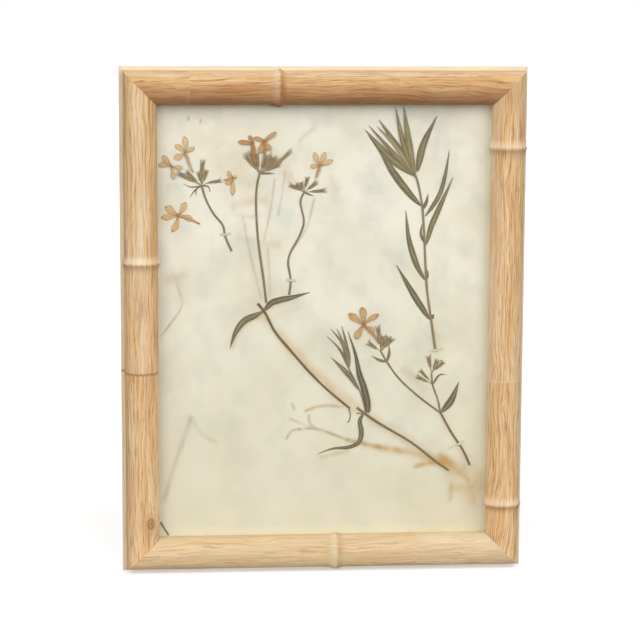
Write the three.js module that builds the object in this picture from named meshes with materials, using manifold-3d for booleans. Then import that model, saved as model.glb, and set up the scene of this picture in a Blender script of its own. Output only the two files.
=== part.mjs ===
// Pressed flower frame: dried phlox sprigs on a sheet behind glass, in a carved bamboo-style oak frame.
// Millimetres, +Z up, the front faces -Y. The origin is the nail point on the wall under the hanger.
import * as THREE from "three";
import { mergeVertices } from "three/addons/utils/BufferGeometryUtils.js";
import Module from "manifold-3d";

const wasm = await Module();
wasm.setup();

// Frame rails: a half-round rod on a flat base strip that stands out past the rod as a ledge.
const SIGHT_WIDTH = 292;
const SIGHT_HEIGHT = 383;
const ROD_WIDTH = 29.5;
const ROD_MIDLINE = 16;
const ROD_RISE = 13;
const LEDGE_WIDTH = 3.5;
const LEDGE_THICKNESS = 5;
const LEDGE_CHAMFER = 0.8;
const REBATE_WIDTH = 7;
const REBATE_DEPTH = 13;
const ROD_FACETS = 10;
const JOINT_GAP = 0.3;

// Bamboo nodes: a ring that rises to a crest.
const NODE_RISE = 2.3;
const NODE_STATIONS = [-1, -0.55, -0.22, 0, 0.22, 0.55, 1];
const NODE_SHARPNESS = 1.5;

// Layers in the rebate, from the glass back to the board.
const GLASS_THICKNESS = 2;
const SPECIMEN_SPACE = 1.6;
const SHEET_THICKNESS = 0.5;
const BOARD_THICKNESS = 3;
const LAYER_PLAY = 0.1;
const EDGE_PLAY = 0.7;
const SPACER_WIDTH = 5.4;

// Hanging hardware on the board's back.
const HANG_DROP = 52;
const HANGER_WIDTH = 44;
const HANGER_HEIGHT = 10;
const HANGER_GAUGE = 0.8;
const HANGER_STANDOFF = 1.6;
const HANGER_TAB = 7;
const TOOTH_COUNT = 9;
const TOOTH_DEPTH = 2;
const TOOTH_PITCH = 3;
const NAIL_HEAD_RADIUS = 2;
const NAIL_SHANK_RADIUS = 0.8;
const NAIL_LENGTH = 5;
const NAIL_TIP = 1;
const NAIL_CLEARANCE = 0.3;
const NAIL_FACETS = 8;
const POINT_LENGTH = 10;
const POINT_WIDTH = 8;
const POINT_GAUGE = 0.6;

// Pressed plant parts.
const STEM_THICKNESS = 0.8;
const SHOOT_THICKNESS = 0.6;
const CALYX_THICKNESS = 0.8;
const LEAF_THICKNESS = 0.35;
const PETAL_THICKNESS = 0.28;
const ON_PAPER = 0.05;
const OVER_STEM = 0.95;
const STRAP_WIDTH = 2.2;
const STRAP_THICKNESS = 0.16;
const STRAP_RISE = 1;
const STRAP_SLACK = 0.4;
const STRAP_RAMP = 0.9;

// Outlines of the plant parts: the share of the length at which a part is widest, and its end width
// as a share of that width.
const LEAF_PEAK = 0.35;
const LEAF_BLUNT = 0.06;
const CALYX_PEAK = 0.45;
const CALYX_BLUNT = 0.25;
const PETAL_PEAK = 0.68;
const PETAL_BLUNT = 0.42;
const PETAL_OVERLAP = 0.1;
const TUBE_PEAK = 0.3;
const TUBE_BLUNT = 0.5;
const TUBE_WIDTH = 2.6;

const RAIL_WIDTH = ROD_WIDTH + LEDGE_WIDTH;
const OUTER_HEIGHT = SIGHT_HEIGHT + 2 * RAIL_WIDTH;
const CENTRE_Z = HANG_DROP - OUTER_HEIGHT / 2;
const GLASS_FRONT = REBATE_DEPTH - LAYER_PLAY;
const GLASS_BACK = GLASS_FRONT - GLASS_THICKNESS;
const SHEET_FRONT = GLASS_BACK - SPECIMEN_SPACE;
const BOARD_FRONT = SHEET_FRONT - SHEET_THICKNESS - LAYER_PLAY;
const BOARD_BACK = BOARD_FRONT - BOARD_THICKNESS;
const INSERT_WIDTH = SIGHT_WIDTH + 2 * (REBATE_WIDTH - EDGE_PLAY);
const INSERT_HEIGHT = SIGHT_HEIGHT + 2 * (REBATE_WIDTH - EDGE_PLAY);

const finish = (color, roughness, metalness = 0) =>
  new THREE.MeshStandardMaterial({ color, roughness, metalness });
const OAK = finish(0xdcb482, 0.6);
const GLASS = finish(0xf4f6f4, 0.05);
const PAPER = finish(0xe4ddc6, 0.9);
const CARD = finish(0x9c8560, 0.9);
const STEEL = finish(0xb9bbbd, 0.35, 1);
const STEM_GREEN = finish(0x6d6a3c, 0.8);
const LEAF_GREEN = finish(0x5c6338, 0.8);
const PETAL_TAN = finish(0xb98f5e, 0.8);
const STRAP_WHITE = finish(0xefe9d8, 0.9);

// Everything inside this group is measured from the middle of the sight opening.
const picture = new THREE.Group();
picture.position.z = CENTRE_Z;
const frame = new THREE.Group();
frame.add(picture);

function place(name, geometry, material, position = [0, 0, 0]) {
  const mesh = new THREE.Mesh(geometry, material);
  mesh.name = name;
  mesh.position.set(...position);
  picture.add(mesh);
}

// Booleans on closed geometries.
function solidOf(geometry) {
  const bare = new THREE.BufferGeometry();
  bare.setAttribute("position", geometry.getAttribute("position"));
  bare.setIndex(geometry.index);
  const merged = mergeVertices(bare, 1e-4);
  const vertProperties = merged.getAttribute("position").array;
  const triVerts = new Uint32Array(merged.index.array);
  return new wasm.Manifold(new wasm.Mesh({ numProp: 3, vertProperties, triVerts }));
}

function geometryOf(solid) {
  const mesh = solid.getMesh();
  const geometry = new THREE.BufferGeometry();
  geometry.setAttribute("position", new THREE.BufferAttribute(mesh.vertProperties, 3));
  geometry.setIndex(new THREE.BufferAttribute(mesh.triVerts, 1));
  return geometry;
}

const fuse = (geometries) =>
  geometryOf(geometries.map(solidOf).reduce((sum, part) => sum.add(part)));

const cut = (geometry, tools) =>
  geometryOf(tools.map(solidOf).reduce((rest, tool) => rest.subtract(tool), solidOf(geometry)));

// A closed skin through rings of points. The outline is the rings' shape in the plane, counter-clockwise.
function loft(rings, outline) {
  const count = outline.length;
  const last = (rings.length - 1) * count;
  const index = [];
  for (let ring = 0; ring < last; ring += count) {
    for (let k = 0; k < count; k++) {
      const next = (k + 1) % count;
      index.push(ring + k, ring + next, ring + count + next);
      index.push(ring + k, ring + count + next, ring + count + k);
    }
  }
  for (const [a, b, c] of THREE.ShapeUtils.triangulateShape(outline, [])) {
    const turn = outline[b].clone().sub(outline[a]).cross(outline[c].clone().sub(outline[a]));
    const [p, q] = turn > 0 ? [b, c] : [c, b];
    index.push(a, q, p, last + a, last + p, last + q);
  }
  const geometry = new THREE.BufferGeometry().setFromPoints(rings.flat());
  geometry.setIndex(signedVolume(rings.flat(), index) > 0 ? index : index.reverse());
  return geometry;
}

function signedVolume(points, index) {
  const normal = new THREE.Vector3();
  let volume = 0;
  for (let i = 0; i < index.length; i += 3) {
    normal.crossVectors(points[index[i + 1]], points[index[i + 2]]);
    volume += points[index[i]].dot(normal) / 6;
  }
  return volume;
}

// Rail places: s runs along the rail, u out from the sight edge and v forward from the wall.
const SIDES = {
  top: { half: SIGHT_WIDTH / 2, at: (s, u, v) => new THREE.Vector3(s, -v, SIGHT_HEIGHT / 2 + u) },
  bottom: { half: SIGHT_WIDTH / 2, at: (s, u, v) => new THREE.Vector3(s, -v, -SIGHT_HEIGHT / 2 - u) },
  left: { half: SIGHT_HEIGHT / 2, at: (s, u, v) => new THREE.Vector3(-SIGHT_WIDTH / 2 - u, -v, s) },
  right: { half: SIGHT_HEIGHT / 2, at: (s, u, v) => new THREE.Vector3(SIGHT_WIDTH / 2 + u, -v, s) },
};

function railOutline(swell) {
  const outline = [
    [ROD_WIDTH, LEDGE_THICKNESS],
    [RAIL_WIDTH - LEDGE_CHAMFER, LEDGE_THICKNESS],
    [RAIL_WIDTH, LEDGE_THICKNESS - LEDGE_CHAMFER],
    [RAIL_WIDTH, 0],
    [REBATE_WIDTH, 0],
    [REBATE_WIDTH, REBATE_DEPTH],
    [0, REBATE_DEPTH],
  ].map(([u, v]) => new THREE.Vector2(u, v));
  for (let k = 0; k <= ROD_FACETS; k++) {
    const angle = Math.PI * (1 - k / ROD_FACETS);
    const u = ROD_WIDTH / 2 + (ROD_WIDTH / 2 + swell) * Math.cos(angle);
    const v = ROD_MIDLINE + (ROD_RISE + swell) * Math.sin(angle);
    outline.push(new THREE.Vector2(u, v));
  }
  return outline.reverse();
}

// One length of rail from start to end. An end left null is cut at the corner's mitre.
function railLength(side, start, end, node) {
  const { half, at } = SIDES[side];
  const first = (u) => (start === null ? -half - u : start) + JOINT_GAP / 2;
  const last = (u) => (end === null ? half + u : end) - JOINT_GAP / 2;
  const ring = (along, swell) => railOutline(swell).map(({ x, y }) => at(along(x), x, y));
  const rings = [ring(first, 0)];
  for (const step of node ? NODE_STATIONS : []) {
    const reach = step < 0 ? node.before : node.after;
    rings.push(ring(() => node.at + step * reach, NODE_RISE * (1 - Math.abs(step)) ** NODE_SHARPNESS));
  }
  rings.push(ring(last, 0));
  return loft(rings, railOutline(0));
}

const TOP_JOINT = -117.5;
const LEFT_JOINT = -43;
const RIGHT_JOINT = -52.5;
const BOTTOM_JOINT = 83;
const RAILS = [
  ["rail_top_left", "top", null, TOP_JOINT],
  ["rail_top_right", "top", TOP_JOINT, null, { at: -40, before: 12, after: 6 }],
  ["rail_left_lower", "left", null, LEFT_JOINT],
  ["rail_left_upper", "left", LEFT_JOINT, null, { at: 54, before: 9, after: 7 }],
  ["rail_right_lower", "right", null, RIGHT_JOINT, { at: -165, before: 6, after: 9 }],
  ["rail_right_upper", "right", RIGHT_JOINT, null, { at: 154, before: 10, after: 9 }],
  ["rail_bottom_left", "bottom", null, BOTTOM_JOINT, { at: 11.5, before: 10, after: 7 }],
  ["rail_bottom_right", "bottom", BOTTOM_JOINT, null],
];
for (const [name, ...shape] of RAILS) place(name, railLength(...shape), OAK);

// Flat layers: front is the distance of a layer's face from the wall.
function layer(name, width, height, front, thickness, material, x = 0, z = 0) {
  const geometry = new THREE.BoxGeometry(width, thickness, height);
  place(name, geometry, material, [x, thickness / 2 - front, z]);
}
layer("glass_pane", INSERT_WIDTH, INSERT_HEIGHT, GLASS_FRONT, GLASS_THICKNESS, GLASS);
layer("mount_sheet", INSERT_WIDTH, INSERT_HEIGHT, SHEET_FRONT, SHEET_THICKNESS, PAPER);

const SPACER_FRONT = GLASS_BACK - LAYER_PLAY;
const SPACER_THICKNESS = SPECIMEN_SPACE - 2 * LAYER_PLAY;
const SPACER_X = (INSERT_WIDTH - SPACER_WIDTH) / 2;
const SPACER_Z = (INSERT_HEIGHT - SPACER_WIDTH) / 2;
const SPACER_RUN = INSERT_HEIGHT - 2 * SPACER_WIDTH - 2 * JOINT_GAP;
for (const [name, sign] of [["spacer_top", 1], ["spacer_bottom", -1]])
  layer(name, INSERT_WIDTH, SPACER_WIDTH, SPACER_FRONT, SPACER_THICKNESS, CARD, 0, sign * SPACER_Z);
for (const [name, sign] of [["spacer_left", -1], ["spacer_right", 1]])
  layer(name, SPACER_WIDTH, SPACER_RUN, SPACER_FRONT, SPACER_THICKNESS, CARD, sign * SPACER_X);

// Sawtooth hanger: its teeth rest on the wall's nail at the origin.
const HANGER_BACK = BOARD_BACK - LAYER_PLAY - HANGER_STANDOFF - HANGER_GAUGE;
const TAB_X = (HANGER_WIDTH - HANGER_TAB) / 2;
const TAB_Z = -CENTRE_Z + HANGER_HEIGHT / 2;

function hangerGeometry() {
  const plate = new THREE.Shape();
  plate.moveTo(HANGER_WIDTH / 2, HANGER_HEIGHT);
  plate.lineTo(-HANGER_WIDTH / 2, HANGER_HEIGHT);
  plate.lineTo(-HANGER_WIDTH / 2, 0);
  for (let tooth = 0; tooth < TOOTH_COUNT; tooth++) {
    const x = (tooth - (TOOTH_COUNT - 1) / 2) * TOOTH_PITCH;
    plate.lineTo(x - TOOTH_PITCH / 2, -TOOTH_DEPTH / 2);
    plate.lineTo(x, TOOTH_DEPTH / 2);
  }
  plate.lineTo((TOOTH_COUNT * TOOTH_PITCH) / 2, -TOOTH_DEPTH / 2);
  plate.lineTo(HANGER_WIDTH / 2, 0);
  const sheet = new THREE.ExtrudeGeometry(plate, { depth: HANGER_GAUGE, bevelEnabled: false });
  sheet.rotateX(Math.PI / 2);
  sheet.translate(0, -HANGER_BACK, -CENTRE_Z);
  const tabs = [-TAB_X, TAB_X].map((x) => {
    const depth = HANGER_STANDOFF + HANGER_GAUGE;
    const tab = new THREE.BoxGeometry(HANGER_TAB, depth, HANGER_HEIGHT);
    return tab.translate(x, depth / 2 - (HANGER_BACK + depth), TAB_Z);
  });
  return cut(fuse([sheet, ...tabs]), [nailHole(-TAB_X), nailHole(TAB_X)]);
}

function nailHole(x) {
  const radius = NAIL_SHANK_RADIUS + NAIL_CLEARANCE;
  const length = NAIL_LENGTH + NAIL_CLEARANCE;
  const drill = new THREE.CylinderGeometry(radius, radius, length, NAIL_FACETS);
  return drill.translate(x, length / 2 - (HANGER_BACK + length - LAYER_PLAY), TAB_Z);
}

function nailGeometry() {
  const headBack = HANGER_BACK - LAYER_PLAY;
  const profile = [
    [0, -headBack - NAIL_LENGTH + LAYER_PLAY],
    [NAIL_SHANK_RADIUS, -headBack - NAIL_LENGTH + NAIL_TIP],
    [NAIL_SHANK_RADIUS, -headBack],
    [NAIL_HEAD_RADIUS, -headBack],
    [NAIL_HEAD_RADIUS / 2, -headBack + HANGER_GAUGE],
    [0, -headBack + HANGER_GAUGE],
  ].map(([radius, y]) => new THREE.Vector2(radius, y));
  return new THREE.LatheGeometry(profile, NAIL_FACETS);
}
place("hanger", hangerGeometry(), STEEL);
place("hanger_nail_left", nailGeometry(), STEEL, [-TAB_X, 0, TAB_Z]);
place("hanger_nail_right", nailGeometry(), STEEL, [TAB_X, 0, TAB_Z]);

const board = new THREE.BoxGeometry(INSERT_WIDTH, BOARD_THICKNESS, INSERT_HEIGHT);
board.translate(0, BOARD_THICKNESS / 2 - BOARD_FRONT, 0);
place("backing_board", cut(board, [nailHole(-TAB_X), nailHole(TAB_X)]), CARD);

const POINT_FRONT = BOARD_BACK - LAYER_PLAY;
const POINT_X = SIGHT_WIDTH / 2 + REBATE_WIDTH - LAYER_PLAY - POINT_LENGTH / 2;
const POINT_Z = SIGHT_HEIGHT / 2 + REBATE_WIDTH - LAYER_PLAY - POINT_LENGTH / 2;
const SIDE_POINT_Z = SIGHT_HEIGHT / 4;
const POINTS = [
  [-POINT_X, SIDE_POINT_Z, true],
  [-POINT_X, -SIDE_POINT_Z, true],
  [POINT_X, SIDE_POINT_Z, true],
  [POINT_X, -SIDE_POINT_Z, true],
  [0, POINT_Z, false],
  [0, -POINT_Z, false],
];
POINTS.forEach(([x, z, lies], number) => {
  const [width, height] = lies ? [POINT_LENGTH, POINT_WIDTH] : [POINT_WIDTH, POINT_LENGTH];
  layer(`retaining_point_${number + 1}`, width, height, POINT_FRONT, POINT_GAUGE, STEEL, x, z);
});

// Plant parts lie on the sheet. Sections run across a part from -1 to 1 and up it from 0 to 1.
const BLADE_SECTION = [[-1, 0.45], [0, 0], [1, 0.45], [0, 1]];
const STRAP_SECTION = [[-1, 0], [1, 0], [1, 1], [-1, 1]];
const onSheet = (x, z, height) => new THREE.Vector3(x, -SHEET_FRONT - height, z);
const curveOf = (path, height = 0) =>
  new THREE.CatmullRomCurve3(path.map(([x, z]) => onSheet(x, z, height)), false, "centripetal");

function ribbon(path, stations, section, thickness) {
  const curve = curveOf(path);
  const outline = section.map(([across, up]) => new THREE.Vector2(across, up));
  const rings = stations.map(({ t, width, lift }) => {
    const middle = curve.getPointAt(t);
    const ahead = curve.getTangentAt(t);
    return outline.map(({ x, y }) => {
      const aside = (x * width) / 2;
      return onSheet(middle.x - aside * ahead.z, middle.z + aside * ahead.x, lift + y * thickness);
    });
  });
  return loft(rings, outline);
}

// The width of a blade that is widest at the peak and ends at the blunt share of that width.
function bladeWidth(t, width, peak, blunt) {
  const bend = Math.log(0.5) / Math.log(peak);
  return width * (blunt + (1 - blunt) * Math.sin(Math.PI * t ** bend));
}

function blade(path, width, { peak, blunt, steps, thickness, lift }) {
  const stations = [];
  for (let step = 0; step <= steps; step++) {
    const t = step / steps;
    stations.push({ t, width: bladeWidth(t, width, peak, blunt), lift: lift(t) });
  }
  return ribbon(path, stations, BLADE_SECTION, thickness);
}

// A leaf lies on the paper, or starts raised over a stem and comes down to the paper.
function leaf(path, width, { peak = LEAF_PEAK, base = ON_PAPER, down = 0.6, steps = 6 } = {}) {
  const { lerp, smoothstep } = THREE.MathUtils;
  const lift = (t) => lerp(base, ON_PAPER, smoothstep(t, down / 2, down));
  return blade(path, width, { peak, blunt: LEAF_BLUNT, steps, thickness: LEAF_THICKNESS, lift });
}

function calyx(path, width) {
  const shape = { peak: CALYX_PEAK, blunt: CALYX_BLUNT, steps: 3, thickness: CALYX_THICKNESS };
  return blade(path, width, { ...shape, lift: () => ON_PAPER });
}

function stem(path, width, thickness = STEM_THICKNESS) {
  const section = new THREE.Shape();
  section.absellipse(0, 0, thickness / 2, width / 2, 0, 2 * Math.PI);
  const extrudePath = curveOf(path, ON_PAPER + thickness / 2);
  const steps = 2 * (path.length - 1);
  return new THREE.ExtrudeGeometry(section, { steps, curveSegments: 3, extrudePath });
}

// A corolla: petals from a throat, and the tube behind it. Each petal is its tip and its width.
function flower(centre, petals, { tube, tubeWidth = TUBE_WIDTH, lift = OVER_STEM, tipLift = ON_PAPER }) {
  const parts = petals.map(([x, z, width]) => {
    const out = [x - centre[0], z - centre[1]];
    const start = [centre[0] - out[0] * PETAL_OVERLAP, centre[1] - out[1] * PETAL_OVERLAP];
    const shape = { peak: PETAL_PEAK, blunt: PETAL_BLUNT, steps: 4, thickness: PETAL_THICKNESS };
    return blade([start, [x, z]], width, { ...shape, lift: (t) => THREE.MathUtils.lerp(lift, tipLift, t) });
  });
  if (tube) {
    const shape = { peak: TUBE_PEAK, blunt: TUBE_BLUNT, steps: 4, thickness: PETAL_THICKNESS };
    parts.push(blade([centre, ...tube], tubeWidth, { ...shape, lift: () => lift }));
  }
  return fuse(parts);
}

// A paper strap from end to end, raised where it crosses the stem at share t of its length.
function strap(name, from, to, crossing, stemWidth) {
  const length = Math.hypot(to[0] - from[0], to[1] - from[1]);
  const near = (stemWidth / 2 + STRAP_SLACK) / length;
  const far = near + STRAP_RAMP / length;
  const profile = [
    [0, 0],
    [crossing - far, 0],
    [crossing - near, STRAP_RISE],
    [crossing + near, STRAP_RISE],
    [crossing + far, 0],
    [1, 0],
  ];
  const stations = profile.map(([t, rise]) => ({ t, width: STRAP_WIDTH, lift: ON_PAPER + rise }));
  place(name, ribbon([from, to], stations, STRAP_SECTION, STRAP_THICKNESS), STRAP_WHITE);
}

// Left sprig: a bent stem, a head of calyces, and three open flowers.
const LEFT_HEAD = [-107.5, 121];
const LEFT_STEM = [[-81.5, 63.5], [-87, 76.5], [-89, 86], [-97.5, 97], [-104, 109.5], LEFT_HEAD];
place(
  "left_sprig_stem",
  fuse([
    stem(LEFT_STEM, 1.9),
    calyx([LEFT_HEAD, [-130, 133.5]], 3.6),
    calyx([LEFT_HEAD, [-122.5, 135]], 3.2),
    calyx([LEFT_HEAD, [-110.5, 135]], 3.4),
    calyx([LEFT_HEAD, [-107.5, 134], [-106, 145]], 3.4),
    calyx([LEFT_HEAD, [-102.5, 136.5]], 3.6),
    calyx([LEFT_HEAD, [-102, 123.5], [-88.5, 126]], 2.8),
    calyx([LEFT_HEAD, [-102, 120.5], [-100, 116]], 1.3),
    calyx([LEFT_HEAD, [-113.5, 117], [-118, 110.5]], 1.2),
    calyx([LEFT_HEAD, [-116.5, 120], [-123, 122.5]], 1.2),
    calyx([LEFT_HEAD, [-112, 118], [-112.5, 113]], 1.2),
  ]),
  STEM_GREEN,
);
const LEFT_TOP_PETALS = [[-122.5, 164, 5.5], [-130.5, 156.5, 5.5], [-113.5, 154.5, 4.8], [-131.5, 145, 6]];
place(
  "left_sprig_flower_top",
  flower([-121.5, 150], LEFT_TOP_PETALS, { tube: [[-118, 140], [-115, 133]] }),
  PETAL_TAN,
);
const LEFT_LOW_PETALS = [[-141, 147.5, 5.5], [-144.5, 139.5, 5], [-124, 137, 4.4], [-131.5, 127, 3.8]];
place("left_sprig_flower_left", flower([-134, 138.5], LEFT_LOW_PETALS, { tipLift: OVER_STEM }), PETAL_TAN);
const LEFT_RIGHT_PETALS = [[-84.5, 134, 4.4], [-77, 129, 4], [-80.5, 112.5, 5], [-86.5, 122, 5.5]];
place(
  "left_sprig_flower_right",
  flower([-80.5, 127.5], LEFT_RIGHT_PETALS, { tube: [[-88.5, 126]], tubeWidth: 2 }),
  PETAL_TAN,
);
strap("strap_left_sprig", [-91.5, 77.8], [-82, 79], 0.44, 1.9);

// A single flower that has come away, with its tube.
const LOOSE_PETALS = [
  [-121.5, 106.5, 6.5],
  [-139.5, 102.5, 7],
  [-143, 93, 6],
  [-133.5, 80.5, 6.5],
  [-115, 90.5, 6],
];
place(
  "loose_flower",
  flower([-128, 95], LOOSE_PETALS, { tube: [[-117, 91.5], [-109, 87.5]], tubeWidth: 2.4, lift: 0.35 }),
  PETAL_TAN,
);

// Tall sprig: a straight stem under a crowded head.
const TALL_HEAD = [-57, 131.5];
const TALL_STEM = [[-51.3, 20.5], [-53.5, 38.5], [-58.5, 76], [-60, 109.5], [-59, 122.5], TALL_HEAD];
const TALL_CALYX_TIPS = [
  [-71, 149.5, 3.6],
  [-66.5, 153, 3.4],
  [-60, 152, 3.4],
  [-50, 150, 3.6],
  [-44, 149, 3.8],
  [-40, 146, 3.4],
  [-37, 140.5, 3],
];
place(
  "tall_sprig_stem",
  fuse([
    stem(TALL_STEM, 2),
    ...TALL_CALYX_TIPS.map(([x, z, width]) => calyx([TALL_HEAD, [x, z]], width)),
    calyx([TALL_HEAD, [-38, 143], [-27, 154.5]], 3.1),
    calyx([TALL_HEAD, [-50, 131.8], [-43.5, 131.5]], 1.8),
  ]),
  STEM_GREEN,
);
place(
  "tall_sprig_flower_left",
  flower([-63, 158], [[-75.5, 159.5, 5], [-66, 165, 4], [-62, 148, 5]], { tipLift: 0.92, lift: 0.92 }),
  PETAL_TAN,
);
const TALL_PETALS = [[-42.5, 168, 4.5], [-47, 152, 5], [-57, 149.5, 5.5], [-62, 163, 4.5]];
const TALL_FLAT = { tipLift: 1.24, lift: 1.24 };
place("tall_sprig_flower_right", flower([-53, 159.5], TALL_PETALS, TALL_FLAT), PETAL_TAN);

// Curved sprig: a sinuous stem under a fan of calyces and one flower.
const CURVED_HEAD = [-18, 115];
const CURVED_STEM = [
  [-30.8, 24.5],
  [-29.5, 37],
  [-31.5, 56.5],
  [-21, 78.5],
  [-18, 89],
  [-21, 107.5],
  CURVED_HEAD,
];
const CURVED_CALYX_TIPS = [
  [-32, 122.5, 3],
  [-26, 123.5, 3],
  [-21, 125, 3],
  [-14.5, 130, 3],
  [-5.5, 125, 3.4],
  [3, 117, 3],
  [-9, 111.5, 1.6],
];
place(
  "curved_sprig_stem",
  fuse([
    stem(CURVED_STEM, 1.8),
    ...CURVED_CALYX_TIPS.map(([x, z, width]) => calyx([CURVED_HEAD, [x, z]], width)),
  ]),
  STEM_GREEN,
);
const CURVED_PETALS = [[-9, 150, 5.5], [0.5, 150, 5.5], [7.5, 143, 5], [-12.5, 137.5, 4.8]];
place(
  "curved_sprig_flower",
  flower([-4, 138.5], CURVED_PETALS, { tube: [[-7.5, 127.5]] }),
  PETAL_TAN,
);
strap("strap_curved_sprig", [-33.5, 37.8], [-24.5, 36.8], 0.45, 1.8);

// Main plant, upper part: a slanting stem with a pair of leaves.
const MAIN_UPPER = [[-58.5, 17], [-52, 8.5], [-43.5, -8], [-28, -27], [-12, -45.5], [3.5, -61], [23.5, -78]];
const MAIN_TENDRIL = [[22.6, -77.2], [24, -84], [23, -89.5], [21.5, -91]];
const MAIN_UPPER_PARTS = [stem(MAIN_UPPER, 2.2), stem(MAIN_TENDRIL, 0.9, SHOOT_THICKNESS)];
place("main_stem_upper", fuse(MAIN_UPPER_PARTS), STEM_GREEN);
const MAIN_LEAF_LEFT = [[-55, 9], [-62, 5.5], [-69.5, 2], [-74.5, -3], [-79.5, -12], [-83, -23]];
const MAIN_LEAF_RIGHT = [[-51.8, 11.4], [-46, 17.5], [-38.5, 20], [-30.5, 21.5], [-12.5, 26.5]];
place("main_leaf_left", leaf(MAIN_LEAF_LEFT, 5.8), LEAF_GREEN);
place("main_leaf_right", leaf(MAIN_LEAF_RIGHT, 5.6, { peak: 0.3 }), LEAF_GREEN);

// Main plant, lower part: the stem goes on with a side shoot, its leaves and a drooping leaf.
const MAIN_LOWER = [[30, -77.5], [36.5, -82.5], [48.5, -91], [79.5, -110], [101.5, -127.5], [113, -135.5]];
const SHOOT_STEM = [[38, -83.2], [35.5, -72], [31.5, -60.5], [22.8, -42.6]];
const LOWER_STUB = [[29.5, -82.5], [36.5, -83.4]];
place(
  "main_stem_lower",
  fuse([
    stem(MAIN_LOWER, 2.3),
    stem(SHOOT_STEM, 1.2, SHOOT_THICKNESS),
    stem(LOWER_STUB, 1, SHOOT_THICKNESS),
  ]),
  STEM_GREEN,
);
const LARGE_LEAF = [[40, -81], [39, -72.5], [36, -60], [31.5, -46], [29, -32.5], [26, -22], [21.5, -9]];
const SMALL_LEAF = [[30.2, -59.6], [25, -51], [16, -41], [6.5, -32]];
const DROOPING_LEAF = [
  [35, -84.6],
  [32.7, -89],
  [34, -101],
  [31.5, -109.5],
  [22.5, -113.5],
  [8.5, -114.5],
  [-4.5, -119],
];
place("shoot_leaf_large", leaf(LARGE_LEAF, 5.8, { peak: 0.22, base: OVER_STEM, down: 0.7 }), LEAF_GREEN);
place("shoot_leaf_small", leaf(SMALL_LEAF, 4.2, { peak: 0.4, base: 0.75, down: 0.9 }), LEAF_GREEN);
place("drooping_leaf", leaf(DROOPING_LEAF, 4.3, { peak: 0.25, steps: 10 }), LEAF_GREEN);
const SHOOT_TUFT = [22.2, -41.2];
place(
  "shoot_tuft",
  fuse([
    leaf([SHOOT_TUFT, [14, -24.5], [3, -13]], 2.2),
    leaf([SHOOT_TUFT, [16, -19], [6, -6]], 2.8),
    leaf([SHOOT_TUFT, [18.5, -22], [11.5, -6]], 3),
    leaf([SHOOT_TUFT, [20.5, -22], [16, -4]], 3),
    leaf([SHOOT_TUFT, [22.8, -32], [21.5, -21]], 2.6),
  ]),
  LEAF_GREEN,
);

// Leafy shoot: long leaves in pairs up the stem and a tuft at its tip.
const LEAFY_STEM = [[99.8, -27.5], [95.5, 1], [91.5, 28], [89.5, 57], [88, 84], [86, 105], [81.3, 126.4]];
place(
  "leafy_shoot_stem",
  fuse([
    stem(LEAFY_STEM, 2.1),
    leaf([[86.6, 99], [90, 106], [91.5, 113.5]], 3),
    leaf([[88.3, 70], [85.5, 78], [86.5, 87]], 2.4),
    leaf([[90.4, 36], [92, 41], [91.8, 46]], 2),
    leaf([[95.3, 2], [98, 6]], 3.5),
  ]),
  STEM_GREEN,
);
const LEAFY_LEAVES = [
  [[[93.4, 2.5], [80.5, 22.5], [64, 50.5]], 5.6],
  [[[88.8, 38], [82.2, 50], [75.2, 72], [71.8, 99]], 5.2],
  [[[90.8, 69.5], [94.8, 85], [101.2, 100], [113.5, 128]], 5],
  [[[89.8, 94.5], [95.8, 102.5], [101.6, 112.5], [106.2, 128.5], [110, 152.5]], 4],
  [[[84.2, 103.8], [75.6, 112.8], [60.5, 132.5], [49.8, 150], [38.5, 164.5]], 6.6],
  [[[82, 134], [86.5, 155.5], [98.5, 181.5]], 6.4],
];
LEAFY_LEAVES.forEach(([path, width], number) => {
  place(`leafy_shoot_leaf_${number + 1}`, leaf(path, width), LEAF_GREEN);
});
const LEAFY_TIP = [80, 128.8];
const LEAFY_TUFT = [
  [[60, 143], [35.5, 169.5], 6.2],
  [[62.5, 157], [47.5, 178.5], 5.2],
  [[58, 152], [38.5, 173.5], 3.5],
  [[61, 157], [46, 172.5], 3.5],
  [[69, 158], [62, 189], 4.6],
  [[74, 158], [69, 190.5], 5.6],
];
const TUFT_LIFT = 0.5;
place(
  "leafy_shoot_tuft",
  fuse(
    LEAFY_TUFT.map(([middle, tip, width]) =>
      leaf([LEAFY_TIP, middle, tip], width, { peak: 0.45, base: TUFT_LIFT, down: 2 }),
    ),
  ),
  LEAF_GREEN,
);
strap("strap_leafy_shoot", [94.5, -26.8], [106.5, -25.4], 0.42, 2.1);

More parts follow.
